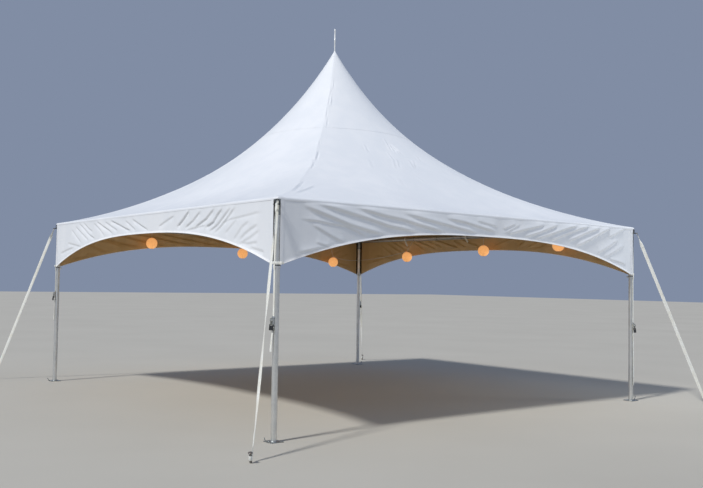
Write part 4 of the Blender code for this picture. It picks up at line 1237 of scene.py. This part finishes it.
def makeCable(corner):
    low, high = cableEnds(corner)
    line = (high - low).normalized()
    swage, length = mastLook["swageRadius"], mastLook["swageLength"]
    start, end = low + line * mastLook["swageGap"], high - line * mastLook["swageGap"]
    count = int((end - start).length / mastLook["ropeStep"])
    first, span = start + line * mastLook["ropeInset"], end - start - line * 2 * mastLook["ropeInset"]
    path = [first + span * i / count for i in range(count + 1)]
    lobes = {"lobes": mastLook["strands"], "lobeDepth": mastLook["strandDepth"], "lay": mastLook["lay"]}
    rope = Shape().tube(path, mastLook["cableRadius"], 18, **lobes)
    rope.make(corner + "_stay_rope", cableSteel, "galvanised_steel", [corner + "_mast_cable"], sharp=80)
    ends = Shape()
    for spot, heading in ((start, line), (end, -line)):
        neck = swage - 0.0012
        profile = [(0, 0), (swage - 0.001, 0), (swage, 0.001), (swage, 0.016), (neck, 0.018), (neck, 0.021)]
        profile += [(swage, 0.023), (swage, length - 0.012), (0.0058, length), (0, length)]
        ends.turned(profile, along(spot, spot + heading), 24)
        flat, corners = swage + 0.003, swage + 0.004
        nut = [(0, 0.026), (flat, 0.026), (corners, 0.027), (corners, 0.037), (flat, 0.038), (0, 0.038)]
        ends.turned(nut, along(spot, spot + heading), 6)
    return ends.make(corner + "_stay_ends", galvanised, "galvanised_steel")


def makeMast():
    foot = footHeight + mastLook["footDepth"] / 2 + mastLook["gap"]
    radii = np.linspace(mastLook["headRadius"], mastLook["headTip"], 8)
    rim = [(r, float(hipHeight(r / (edge * math.sqrt(2)))) - mastLook["underCloth"]) for r in radii]
    under = rim[0][1] - mastLook["headDepth"]
    radius, head, cut = tube["radius"], mastLook["headRadius"], tube["edge"]
    profile = [(boreRadius, foot), (radius - cut, foot), (radius, foot + cut), (radius, under - 0.004)]
    profile += [(radius + 0.004, under), (head - 0.003, under), (head, under + 0.003)]
    profile += rim + [(0, rim[-1][1]), (0, under + 0.012), (boreRadius, under + 0.012)]
    tall = Shape().turned(profile, steps=tube["sides"], closed=True)
    tall.make("mast_tube", legAluminium, "aluminium", ["mast"])
    outer, depth, cut = mastLook["footRadius"], mastLook["footDepth"], mastLook["footBevel"]
    low, high = footHeight - depth / 2, footHeight + depth / 2
    tip = high + fitting["spigot"]
    hub = [(0, low), (outer - cut, low), (outer, low + cut), (outer, high - cut), (outer - cut, high)]
    hub += [(radius + 0.004, high), (plugRadius, high), (plugRadius, tip), (0, tip)]
    shape = Shape().turned(hub, steps=64)
    nut = [(0, low - 0.01), (0.01, low - 0.01), (0.012, low - 0.008), (0.012, low), (0, low)]
    shape.turned(nut, steps=6)
    for corner in cornerSigns:
        start, end = cableEnds(corner)
        line = (end - start).normalized()
        shape.rod(start - line * 0.03, start, fitting["bossRadius"], 24, 0.001)
        ring = [(0.0118, 0.0), (0.0142, 0.0), (0.0142, 0.004), (0.0118, 0.004)]
        shape.turned(ring, along(start - line * 0.0185, start), 24, closed=True)
    shape.make("mast_foot_hub", castFinish, "cast_fitting", ["mast_foot"])


for corner in cornerSigns:
    makeFitting(corner)
    makeCable(corner)
makeMast()

# rod above the peak, with a ferrule and a dull ball tip
finialLook = {"base": 0.009, "top": 0.0115, "tip": 0.007}


def makeFinial(look):
    low, tip = [corner.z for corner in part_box("finial")]
    peak, base, top = float(hipHeight(0)), look["base"], look["top"]
    profile = [(0, low), (base, low), (base + 0.0008, peak + 0.06), (top - 0.001, tip - 0.175)]
    profile += [(top, tip - 0.172), (top, tip - 0.16), (top - 0.0015, tip - 0.157)]
    profile += [(top - 0.001, tip - 0.03), (top, tip - 0.026), (top, tip - 0.018)]
    profile += [(top - 0.002, tip - 0.01), (look["tip"], tip - 0.002), (look["tip"] - 0.003, tip), (0, tip)]
    Shape().turned(profile, steps=32).make("finial_rod", finialAluminium, "aluminium", ["finial"])


makeFinial(finialLook)
print("frame, mast and cables done")

# base plates
plateLook = {
    "side": 0.15, "thick": 0.008, "bevel": 0.0018, "boltShare": 0.38, "weldSteps": 60, "weldUneven": 0.0005,
    "hookRadius": 0.005, "hookInset": 0.02, "hookReach": 0.112, "hookHeight": 0.058, "hookSteps": 14,
    # turned profiles as (radius, height)
    "washer": ((0.0058, 0), (0.0115, 0), (0.0122, 0.0008), (0.0122, 0.0018),
               (0.0112, 0.0024), (0.0058, 0.0024)),
    "bolt": ((0, 0.0004), (0.0062, 0.0004), (0.0072, 0.0012), (0.0072, 0.0058),
             (0.0062, 0.0066), (0, 0.0066)),
}


def makePlate(corner):
    signX, signY = cornerSigns[corner]
    where = Matrix.Translation((signX * half, signY * half, 0))
    side, thick = plateLook["side"], plateLook["thick"]
    shape = Shape()
    shape.block((side, side, thick), (0, 0, thick / 2), where, plateLook["bevel"], 3)
    # a bolt on a washer near each of its corners
    for x in (-1, 1):
        for y in (-1, 1):
            out = side * plateLook["boltShare"]
            spot = Vector((x * out, y * out, thick - 0.0005))
            upright = where @ along(spot, spot + Vector((0, 0, 1)))
            shape.turned(plateLook["washer"], upright, 24, closed=True)
            shape.turned(plateLook["bolt"], upright, 6)
    # weld round the spigot
    steps = plateLook["weldSteps"]
    bead = circle(tube["radius"] + 0.001, steps, (0, 0, thick + 0.0006))
    radii = [0.0026 + plateLook["weldUneven"] * math.sin(i * 2.3) for i in range(steps)]
    shape.tube(bead, radii, 8, where, loop=True)
    # hook that turns up from the plate's outer edge
    start, steps, bar = side / 2 - plateLook["hookInset"], plateLook["hookSteps"], plateLook["hookRadius"]
    reach, rise = plateLook["hookReach"], plateLook["hookHeight"] - thick
    line = []
    for i in range(steps + 1):
        turn = pi / 2 * i / steps
        out = start + (reach - start) * math.sin(turn)
        line.append((signX * out, 0, thick - 0.001 + rise * (1 - math.cos(turn))))
    shape.tube(line, [bar] * steps + [bar * 0.8], 16, where)
    return shape.make(corner + "_foot_plate", galvanised, "galvanised_steel", [corner + "_base_plate"])


for corner in cornerSigns:
    makePlate(corner)

# stakes and guys
guyLook = {
    "reach": 1.04, "width": 0.045, "thickness": 0.0024, "sewn": 0.2, "sewnGap": 0.0008,
    "eyeLength": 0.075, "eyeHeight": 0.052,
    "lean": math.radians(18), "stakeRadius": 0.0125, "stakeLength": 0.105, "stakeFoot": 0.0042,
    "steps": 110, "loopSteps": 20, "room": 0.0003, "lowEase": 6, "stitchShare": 0.72,
    # the strap's quarter turns on its way up: share of the length, then turns made by there
    "twists": {
        "front_left": ((0.0, 0.0), (0.04, 0.2), (0.27, 0.55), (0.48, 0.24), (0.66, 0.58), (0.79, 0.5),
                       (0.9, 0.05), (0.965, 0.08), (1.0, 1.0)),
        "front_right": ((0.0, 0.0), (0.3, 0.1), (0.92, 0.0), (0.985, 1.0)),
        "back_left": ((0.0, 0.0), (0.4, -0.1), (0.92, 0.0), (0.985, 1.0)),
        "back_right": ((0.0, 0.0), (0.45, 0.8), (0.955, 1.0)),
    },
    # drawn together where it loops over the bail: narrowest share of the width, and over what length
    "gather": 0.5, "gatherLength": 0.12,
}


def stakeAxis():
    return Vector((math.sin(guyLook["lean"]), 0, math.cos(guyLook["lean"])))


def makeStake(corner):
    base = Vector((guyLook["reach"], 0, 0))
    radius, length = guyLook["stakeRadius"], guyLook["stakeLength"]
    start, neck = guyLook["stakeFoot"], length - 0.012
    profile = [(0, start), (radius, start), (radius, neck - 0.004), (radius + 0.003, neck)]
    profile += [(0.0205, neck + 0.003), (0.0215, neck + 0.006), (0.021, neck + 0.009)]
    profile += [(0.0185, length - 0.0012), (0.012, length), (0, length + 0.0004)]
    where = cornerFrame(corner) @ along(base, base + stakeAxis())
    shape = Shape().turned(profile, where, 32)
    # hammered lip, uneven round the head
    lip = []
    for i in range(40):
        angle = 2 * pi * i / 40
        out = 0.0202 + 0.0009 * math.sin(3 * angle + 1) + 0.0006 * math.sin(7 * angle)
        rise = neck + 0.007 + 0.0008 * math.sin(5 * angle)
        lip.append((out * math.cos(angle), out * math.sin(angle), rise))
    shape.tube(lip, 0.002, 8, where, loop=True)
    return shape.make(corner + "_stake_bar", stakeSteel, "galvanised_steel", [corner + "_stake"])


def quarterTurns(twist, share):
    for (low, before), (high, after) in zip(twist, twist[1:]):
        if share <= high:
            return before + (after - before) * smooth((share - low) / (high - low))
    return twist[-1][1]


def guyRows(corner):
    # round the stake, up with a quarter turn, over the bail and back along itself
    across = Vector((0, 1, 0))
    reach = guyLook["width"] / 2
    axis = stakeAxis()
    toward = Vector((-axis.z, 0, axis.x))
    bail = Vector((tube["radius"] + fitting["bailReach"], 0, railHeight - fitting["bailDrop"]))
    eye = Vector((guyLook["reach"], 0, 0)) + axis * guyLook["eyeHeight"]
    low = eye + toward * guyLook["eyeLength"]
    line = (bail - low).normalized()
    bailLoop = fitting["bailRadius"] + guyLook["room"] + guyLook["thickness"] / 2 + 0.0001
    stakeLoop = guyLook["stakeRadius"] + guyLook["room"] + guyLook["thickness"] / 2 + 0.0006
    high = bail - line * (bailLoop * 3)
    lift = (guyLook["thickness"] + guyLook["sewnGap"]) / 2
    run = []
    steps, turns = guyLook["steps"], guyLook["loopSteps"]
    for i in range(steps + 1):
        share = (i / steps) ** 1.1
        heading = toward.lerp(line, min(1.0, share * guyLook["lowEase"])).normalized()
        turn = quarterTurns(guyLook["twists"][corner], share) * pi / 2
        upright = (axis - heading * axis.dot(heading)).normalized()
        flat = (upright * math.cos(turn) + across * math.sin(turn)).normalized()
        normal = heading.cross(flat).normalized()
        point = low.lerp(high, share)
        spare = smooth((high - point).length / guyLook["gatherLength"])
        run.append((point, flat * (guyLook["gather"] + (1 - guyLook["gather"]) * spare), normal))
    nearStake = [row for row in run if (row[0] - low).length < guyLook["sewn"]]
    nearBail = [row for row in run if (row[0] - high).length < guyLook["sewn"]]
    rows = [(point - normal * lift, flat * reach) for point, flat, normal in reversed(nearStake)]
    sideways = run[0][1].cross(toward).normalized()
    for i in range(turns + 1):
        angle = math.radians(30 + 300 * i / turns)
        spoke = toward * math.cos(angle) + sideways * math.sin(angle)
        rows.append((eye + spoke * stakeLoop, axis * reach))
    rows += [(point + normal * lift, flat * reach) for point, flat, normal in run]
    for i in range(turns + 1):
        angle = math.radians(120 - 240 * i / turns)
        spoke = line * math.cos(angle) + run[-1][2] * math.sin(angle)
        rows.append((bail + spoke * bailLoop, across * reach * guyLook["gather"]))
    rows += [(point - normal * lift, flat * reach) for point, flat, normal in reversed(nearBail)]
    return rows, run, low, high, lift


def makeGuy(corner):
    rows, run, low, high, lift = guyRows(corner)
    where = cornerFrame(corner)
    strap = Shape().ribbon(rows, guyLook["thickness"], where)
    strap.make(corner + "_guy_webbing", strapWebbing, "webbing", [corner + "_guy_strap"])
    # box stitching through both layers at each end
    thread = Shape()
    wide = guyLook["stitchShare"] * guyLook["width"] / 2
    out = lift + guyLook["thickness"] / 2 + 0.0002
    for origin in (low, high):
        spans = [row for row in run if 0.035 < (row[0] - origin).length < guyLook["sewn"] - 0.01]
        shares = [i / (len(spans) - 1) for i in range(len(spans))]
        for face in (-1, 1):
            for hand in (-1, 1):
                stitchLine(thread, [sewnPoint(row, hand * wide, face * out) for row in spans], where)
            for row in (spans[0], spans[-1]):
                stitchLine(thread, [sewnPoint(row, hand * wide, face * out) for hand in (-1, 1)], where)
            for hand in (-1, 1):
                slant = [hand * wide * (1 - 2 * share) for share in shares]
                cross = [sewnPoint(row, aside, face * out) for row, aside in zip(spans, slant)]
                stitchLine(thread, cross, where)
    return thread.make(corner + "_guy_stitching", threadWhite, "webbing")


def sewnPoint(row, aside, out):
    point, flat, normal = row
    return point + flat * aside + normal * out


stitch = {"length": 0.0055, "gap": 0.0025, "radius": 0.0005, "first": 0.001}


def stitchLine(shape, path, where):
    # separate stitches laid along a path of points
    spans = [(b - a).length for a, b in zip(path, path[1:])]
    total, length, radius = sum(spans), stitch["length"], stitch["radius"]

    def spot(distance):
        for n, span in enumerate(spans):
            if distance <= span or n == len(spans) - 1:
                return path[n].lerp(path[n + 1], min(1.0, distance / span))
            distance -= span

    travelled = stitch["first"]
    while travelled + length < total:
        start, end = spot(travelled), spot(travelled + length)
        shape.tube([start, start.lerp(end, 0.5), end], [radius * 0.6, radius, radius * 0.6], 6, where)
        travelled += length + stitch["gap"]


for corner in cornerSigns:
    makeStake(corner)
    makeGuy(corner)

# leg tensioners: strap from the canopy's corner to the ratchet, then a loose tail
strapLook = {
    "width": 0.025, "thickness": 0.0016, "ease": 0.024,
    "heights": {"front_left": 1.2, "front_right": 1.05, "back_left": 1.34, "back_right": 1.2},
    "tails": {"front_left": 0.9, "front_right": 0.22, "back_left": 0.95, "back_right": 0.9},
    "flares": {"front_left": 0.03, "front_right": 0.008, "back_left": 0.006, "back_right": 0.02},
    "hands": {"front_left": -1, "front_right": -1, "back_left": 1, "back_right": -1},
    "turn": math.radians(37),
    "overHub": 0.004, "overCollar": 0.006, "underHem": 0.0053, "room": 0.0003, "aboveRatchet": 0.0525,
    "turnSteps": 30, "step": 0.03, "tailSteps": 30, "tailWave": 0.0016, "tailTwist": 0.2,
}


def makeLegStrap(corner):
    # a line of (angle round the leg, distance from its axis, height)
    thick, ease = strapLook["thickness"], strapLook["ease"]
    onLeg = tube["radius"] + strapLook["room"] + thick / 2
    onHub, onCollar = onLeg + strapLook["overHub"], onLeg + strapLook["overCollar"]
    skirt = railHeight - fitting["hubSkirt"] - strapLook["room"]
    collarTop, collarFoot = tube["collarHigh"] + thick, tube["collarLow"] - thick
    freeFrom = strapLook["heights"][corner] - strapLook["aboveRatchet"]
    turnStart, turnEnd = skirt - ease, collarTop + ease
    full = strapLook["hands"][corner] * strapLook["turn"]
    top = canopy["eaveHeight"] - strapLook["underHem"]
    line = [(0, onHub, top), (0, onHub, skirt), (0, onLeg, turnStart)]
    for i in range(1, strapLook["turnSteps"] + 1):
        share = i / strapLook["turnSteps"]
        lift = 0.0009 * math.sin(pi * share)
        line.append((full * smooth(share), onLeg + lift, turnStart + (turnEnd - turnStart) * share))
    line += [(full, onCollar, collarTop), (full, onCollar, collarFoot)]
    line += [(full, onLeg, collarFoot - ease), (full, onLeg, freeFrom)]
    path = []
    for here, ahead in zip(line, line[1:]):
        parts = max(1, int(abs(ahead[2] - here[2]) / strapLook["step"]))
        for i in range(parts):
            path.append([a + (b - a) * i / parts for a, b in zip(here, ahead)])
    # then the loose tail, which stands off the leg
    end = strapLook["tails"][corner]
    for i in range(strapLook["tailSteps"] + 1):
        share = i / strapLook["tailSteps"]
        flare = strapLook["flares"][corner] * share * (2 - share)
        wave = strapLook["tailWave"] * math.sin(9 * share) * share
        path.append((full, onLeg + flare + wave, freeFrom + (end - freeFrom) * share))
    rows = []
    for angle, x, z in path:
        loose = max(0.0, (freeFrom - z) / max(freeFrom - end, 0.01))
        turn = angle - strapLook["tailTwist"] * math.sin(4 * loose) * loose
        reach = Vector((-math.sin(turn), math.cos(turn), 0)) * strapLook["width"] / 2
        rows.append((Vector((x * math.cos(angle), x * math.sin(angle), z)), reach))
    strap = Shape().ribbon(rows, thick, cornerFrame(corner))
    return strap.make(corner + "_leg_webbing", strapWebbing, "webbing", [corner + "_leg_strap"])


ratchetLook = {
    "length": 0.105, "width": 0.038, "plate": 0.003, "depth": 0.025, "cheek": 0.075, "tilt": math.radians(-7),
    "cheekTop": 0.01, "cheekFoot": 0.008, "axleUp": 0.012, "axleRadius": 0.006, "spoolRadius": 0.0098,
    "teeth": 13, "toothTip": 0.0125, "toothFoot": 0.01, "toothLean": 0.16, "wheelThick": 0.0024,
    "hingeDown": 0.042, "arm": (0.012, 0.0026, 0.062), "gripDown": 0.0395, "gripRadius": 0.0062,
}


def makeRatchet(corner):
    where = cornerFrame(corner) @ Matrix.Rotation(strapLook["hands"][corner] * strapLook["turn"], 4, "Z")
    middle = strapLook["heights"][corner]
    seat = tube["radius"] + strapLook["thickness"] + 0.0006
    width, plate, depth = ratchetLook["width"], ratchetLook["plate"], ratchetLook["depth"]
    shape = Shape()
    shape.block((plate, width, ratchetLook["length"]), (seat + plate / 2, 0, middle), where, 0.001)
    # cheeks with rounded ends
    outline = []
    halfCheek, top, foot = ratchetLook["cheek"] / 2, ratchetLook["cheekTop"], ratchetLook["cheekFoot"]
    bends = ((depth - top, halfCheek - top, 0, top), (0.0, halfCheek, 90, 0.0))
    bends += ((0.0, -halfCheek, 180, 0.0), (depth - foot, -halfCheek + foot, 270, foot))
    for x, z, start, bend in bends:
        for i in range(7 if bend else 1):
            angle = math.radians(start + 90 * i / 6)
            outline.append((seat + x + bend * math.cos(angle), z + bend * math.sin(angle)))
    for hand in (-1, 1):
        face = Matrix.Translation((0, hand * (width - plate) / 2, middle)) @ Matrix.Rotation(pi / 2, 4, "X")
        shape.plate(outline, -plate / 2, plate / 2, where @ face)
    # spool with its toothed wheels
    axle = Vector((seat + depth * 0.7, 0, middle + ratchetLook["axleUp"]))
    reach = Vector((0, width / 2 + 0.004, 0))
    shape.rod(axle - reach, axle + reach, ratchetLook["axleRadius"], 20, 0.0008, where)
    inner, outer, end = 0.0055, ratchetLook["spoolRadius"], width / 2 - 0.005
    spool = [(inner, -end), (outer, -end), (outer, end), (inner, end)]
    shape.turned(spool, where @ along(axle, axle + Vector((0, 1, 0))), 28, closed=True)
    teeth = []
    foot, tip = (ratchetLook["toothFoot"], 0.0, 0.0), (ratchetLook["toothTip"], 0.5, ratchetLook["toothLean"])
    for i in range(ratchetLook["teeth"]):
        for bite, share, lean in (foot, tip):
            angle = 2 * pi * (i + share) / ratchetLook["teeth"] + lean
            teeth.append((bite * math.cos(angle), bite * math.sin(angle)))
    for hand in (-1, 1):
        spot = axle + Vector((0, hand * (width / 2 + 0.0022), 0))
        wheel = where @ Matrix.Translation(spot) @ Matrix.Rotation(pi / 2, 4, "X")
        shape.plate(teeth, -ratchetLook["wheelThick"] / 2, ratchetLook["wheelThick"] / 2, wheel)
    shape.make(corner + "_ratchet_frame", ratchetZinc, "galvanised_steel")
    # handle: two arms and a grip bar
    shape = Shape()
    hinge = (seat + depth, 0, middle - ratchetLook["hingeDown"])
    tilt = where @ Matrix.Translation(hinge) @ Matrix.Rotation(ratchetLook["tilt"], 4, "Y")
    outer, arm, low = width + 0.014, ratchetLook["arm"], -ratchetLook["gripDown"]
    for hand in (-1, 1):
        shape.block(arm, (0, hand * (outer - arm[1]) / 2, -0.0145), tilt, 0.001)
    end = outer / 2 - 0.0005
    shape.rod((0, -end, low), (0, end, low), ratchetLook["gripRadius"], 20, 0.001, tilt)
    shape.block((0.005, outer - 0.006, 0.042), (0.0, 0, -0.019), tilt, 0.0012)
    return shape.make(corner + "_ratchet_handle", blackCoat, "black_ratchet", [corner + "_ratchet"])


for corner in cornerSigns:
    makeLegStrap(corner)
    makeRatchet(corner)
print("plates, stakes, guys and tensioners done")
# paper lanterns
lanternLook = {
    "radius": 0.0925, "ribs": 15, "ribSteps": 6, "ribDepth": 0.0022, "sides": 44, "opening": 0.026,
    "paper": 0.0009, "wire": 0.0011, "wireSides": 8, "rimSteps": 32, "rimInset": 0.0005,
}
lanternNodes = [side + "_lantern_" + number for side in ("back", "right") for number in ("1", "2", "3")]


def lanternCentre(node):
    low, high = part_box(node)
    return (low + high) / 2


def makeLantern(node):
    where = Matrix.Translation(lanternCentre(node))
    radius, opening, thin = lanternLook["radius"], lanternLook["opening"], lanternLook["paper"]
    start = math.asin(opening / radius)
    steps = lanternLook["ribs"] * lanternLook["ribSteps"]
    outer = []
    for i in range(steps + 1):
        share = i / steps
        angle = start + (pi - 2 * start) * share
        hollow = lanternLook["ribDepth"] * abs(math.sin(pi * share * lanternLook["ribs"])) ** 0.8
        reach = radius - hollow
        outer.append((reach * math.sin(angle), -reach * math.cos(angle)))
    inner = [(r - thin * math.sin(math.atan2(r, -z)), z * (1 - thin / radius)) for r, z in outer]
    paper = Shape().turned(outer + inner[::-1], where, lanternLook["sides"], closed=True)
    paper.make(node + "_globe", orangePaper, "orange_paper", [node], sharp=80)
    wire, gauge, sides = Shape(), lanternLook["wire"], lanternLook["wireSides"]
    top, low = outer[-1][1], outer[0][1]
    for height in (low + lanternLook["rimInset"], top - lanternLook["rimInset"]):
        rim = circle(opening, lanternLook["rimSteps"], (0, 0, height))
        wire.tube(rim, gauge * 1.5, sides, where, loop=True)
    # spring frame that holds the globe open, with a hook at the top
    bent = opening * 0.9
    spring = [(-opening, 0, low), (-bent, 0, -0.02), (-bent, 0, top - 0.012), (0, 0, top + 0.001)]
    spring += [(bent, 0, top - 0.012), (bent, 0, -0.02), (opening, 0, low)]
    wire.tube(rounded(spring, 0.012), gauge, sides, where)
    hook = [(-opening, 0, top), (0, 0, top + 0.002), (opening, 0, top)]
    wire.tube(rounded(hook, 0.01), gauge, sides, where)
    return wire.make(node + "_wire", galvanised, "galvanised_steel")


for node in lanternNodes:
    makeLantern(node)

# lead that the lanterns hang from: along the back rail, slack past the back right leg, along the right rail
leadLook = {
    "radius": 0.003, "sides": 12, "gap": 0.0003, "startInset": 0.19, "bend": 0.05, "beforeBend": 0.16,
    "legDrop": 0.408, "sag": 0.03, "swagSteps": 24, "rise": 0.014,
    "drop": 0.0024, "dropSides": 10, "dropBend": 0.02, "dropTurn": 0.03, "holderDown": 0.001,
    # holder over the globe's hook, as (radius, height)
    "holder": ((0, 0), (0.0062, 0), (0.0072, 0.0015), (0.0062, 0.012), (0.004, 0.0138), (0, 0.0138)),
}


def swag(start, end):
    path = []
    for i in range(1, leadLook["swagSteps"] + 1):
        share = i / leadLook["swagSteps"]
        sag = Vector((0, 0, 4 * leadLook["sag"] * share * (1 - share)))
        path.append(start.lerp(end, share) - sag)
    return path


def makeLead():
    centres = [lanternCentre(node) for node in lanternNodes]
    height = railHeight - tube["radius"] - leadLook["gap"] - leadLook["radius"]
    onRail = [Vector((centre.x, half, height)) for centre in centres[:3]]
    onRail += [Vector((half, centre.y, height)) for centre in centres[3:]]
    start = Vector((-half + leadLook["startInset"], half, height))
    legSide = half - (tube["radius"] + leadLook["radius"] + leadLook["gap"]) / math.sqrt(2)
    atLeg = Vector((legSide, legSide, canopy["eaveHeight"] - leadLook["legDrop"]))
    # the third and fourth lanterns hang on the slack run itself
    rise = Vector((0, 0, lanternLook["radius"] + leadLook["rise"]))
    third, fourth = centres[2] + rise, centres[3] + rise
    before = leadLook["beforeBend"]
    route = rounded([start, onRail[2] - Vector((before, 0, 0)), onRail[2], third], leadLook["bend"])
    route += swag(third, atLeg) + swag(atLeg, fourth)
    route += rounded([fourth, onRail[3], onRail[3] - Vector((0, before, 0)), onRail[5]], leadLook["bend"])[1:]
    lead = Shape().tube(route, leadLook["radius"], leadLook["sides"])
    lead.make("lantern_lead_run", whiteLead, "white_lead", ["lantern_lead"], sharp=80)
    drops = Shape()
    for n, centre in enumerate(centres):
        top = centre + Vector((0, 0, lanternLook["radius"] + leadLook["gap"]))
        upper = [centre + rise]
        if n not in (2, 3):
            above = Vector((centre.x, centre.y, height))
            line = [onRail[n], above, above - Vector((0, 0, leadLook["dropTurn"])), top]
            upper = rounded(line, leadLook["dropBend"])[:-1]
        drops.tube(upper + [top], leadLook["drop"], leadLook["dropSides"])
        drops.turned(leadLook["holder"], Matrix.Translation(top - Vector((0, 0, leadLook["holderDown"]))), 20)
    drops.make("lantern_drops", whiteLead, "white_lead", sharp=50)


makeLead()
print("lanterns and lead done")

# cable ties that hold the lead under the rails
tieLook = {
    "steps": 40, "width": 0.0046, "thickness": 0.0012, "room": 0.0002, "leadRoom": 0.007, "leadFrom": 0.93,
    "backFirst": -2.7, "rightFirst": 1.45, "spacing": 0.6, "backCount": 9, "rightCount": 6,
    "lock": (0.007, 0.007, 0.006), "lockBevel": 0.0008, "lockOut": 0.0022,
}


def ringRows(spot, heading, sideways, look):
    # rows of a band round the rail and the lead under it
    rows = []
    for i in range(look["steps"] + 1):
        angle = 2 * pi * i / look["steps"] + pi / 2
        drop = max(0.0, -math.sin(angle) - look["leadFrom"]) / (1 - look["leadFrom"])
        out = tube["radius"] + look["thickness"] / 2 + look["room"] + look["leadRoom"] * drop
        middle = spot + sideways * out * math.cos(angle) + Vector((0, 0, out * math.sin(angle)))
        rows.append((middle, heading * look["width"] / 2))
    return rows


def makeTies(look):
    shape = Shape()
    alongBack, alongRight, every = Vector((1, 0, 0)), Vector((0, 1, 0)), look["spacing"]
    spots = []
    for n in range(look["backCount"]):
        spots.append((Vector((look["backFirst"] + every * n, half, railHeight)), alongBack, alongRight))
    for n in range(look["rightCount"]):
        spots.append((Vector((half, look["rightFirst"] - every * n, railHeight)), alongRight, alongBack))
    for spot, heading, sideways in spots:
        shape.ribbon(ringRows(spot, heading, sideways, look), look["thickness"])
        reach = tube["radius"] + look["thickness"] / 2 + look["room"]
        lockAt = spot - sideways * (reach + look["lockOut"]) * 0.8 - Vector((0, 0, 0.6 * reach))
        shape.block(look["lock"], (0, 0, 0), Matrix.Translation(lockAt), look["lockBevel"])
    return shape.make("lead_ties", blackCoat, "black_ratchet")


makeTies(tieLook)

# canopy ties round the right rail, with their tails left hanging: start on the rail, then the tail's end
tailLook = {
    "steps": 40, "width": 0.032, "thickness": 0.0014, "room": 0.0003, "leadRoom": 0.0072, "leadFrom": 0.9,
    "bow": 0.005, "tailSteps": 16,
    "runs": (
        ((3.0185, 1.681, 2.408), (3.008, 1.591, 2.298)),
        ((3.02, 0.149, 2.404), (3.012, 0.078, 2.33)),
    ),
}


def makeTieTails(look):
    shape = Shape()
    outward, alongRight = Vector((1, 0, 0)), Vector((0, 1, 0))
    for start, end in look["runs"]:
        start, end = Vector(start), Vector(end)
        spot = Vector((half, start.y, railHeight))
        shape.ribbon(ringRows(spot, alongRight, outward, look), look["thickness"])
        across = (end - start).cross(outward).normalized() * look["width"] / 2
        rows = []
        for i in range(look["tailSteps"] + 1):
            share = i / look["tailSteps"]
            bow = Vector((-look["bow"] * math.sin(pi * share), 0, 0))
            rows.append((start.lerp(end, share) + bow, across))
        shape.ribbon(rows, look["thickness"])
    return shape.make("canopy_tie_tails", strapWebbing, "webbing")


makeTieTails(tailLook)

# floor and soft studio light
studio = {
    "floor": (188, 184, 174), "floorRoughness": 0.85, "floorReach": 90, "floorTone": 0.35, "floorDarker": 5,
    "sky": (129, 141, 164), "skyStrength": 1.0,
    "sun": {
        "from": (-0.61, -0.1, 0.78), "away": 30, "aim": (0, 0, 2.6), "energy": 2.75,
        "spread": math.radians(6), "colour": (1.0, 0.99, 0.965),
    },
    "side": {
        "place": (9.5, -7.5, 3.4), "aim": (2.6, -3.0, 2.7), "energy": 1900,
        "radius": 1.4, "cone": math.radians(64), "blend": 1.0, "colour": (0.93, 0.97, 1.0),
    },
}


def placeLight(name, lamp, place, look):
    lamp.energy = look["energy"]
    lamp.color = look["colour"]
    made = bpy.data.objects.new(name, lamp)
    made.matrix_world = along(place, look["aim"]) @ Matrix.Rotation(pi, 4, "X")
    made.visible_camera = False
    made.visible_glossy = lamp.type == "SUN"
    bpy.context.scene.collection.objects.link(made)


def setStudio(look):
    mesh = bpy.data.meshes.new("floor")
    reach = look["floorReach"]
    corners = [(x * reach, y * reach, 0) for x, y in ((-1, -1), (1, -1), (1, 1), (-1, 1))]
    mesh.from_pydata(corners, [], [(0, 1, 2, 3)])
    floor = bpy.data.objects.new("floor", mesh)
    cover = Finish("pale_floor", look["floor"], look["floorRoughness"])
    soft = cover.spread(cover.noise(look["floorTone"], 3.0, 0.5), 0.3, 0.7)
    deeper = screenColour(*[value - look["floorDarker"] for value in look["floor"]])
    cover.wear("Base Color", cover.mix(soft, deeper, cover.colour))
    mesh.materials.append(cover.material)
    bpy.context.scene.collection.objects.link(floor)
    world = bpy.data.worlds.new("studio")
    world.use_nodes = True
    sky = world.node_tree.nodes["Background"]
    sky.inputs["Color"].default_value = screenColour(*look["sky"])
    sky.inputs["Strength"].default_value = look["skyStrength"]
    bpy.context.scene.world = world
    bpy.context.scene.view_settings.view_transform = "Standard"
    sun = bpy.data.lights.new("sun", "SUN")
    sun.angle = look["sun"]["spread"]
    placeLight("sun", sun, Vector(look["sun"]["from"]) * look["sun"]["away"], look["sun"])
    side = bpy.data.lights.new("side", "SPOT")
    side.spot_size = look["side"]["cone"]
    side.spot_blend = look["side"]["blend"]
    side.shadow_soft_size = look["side"]["radius"]
    placeLight("side", side, look["side"]["place"], look["side"])


setStudio(studio)

print("all pieces made")
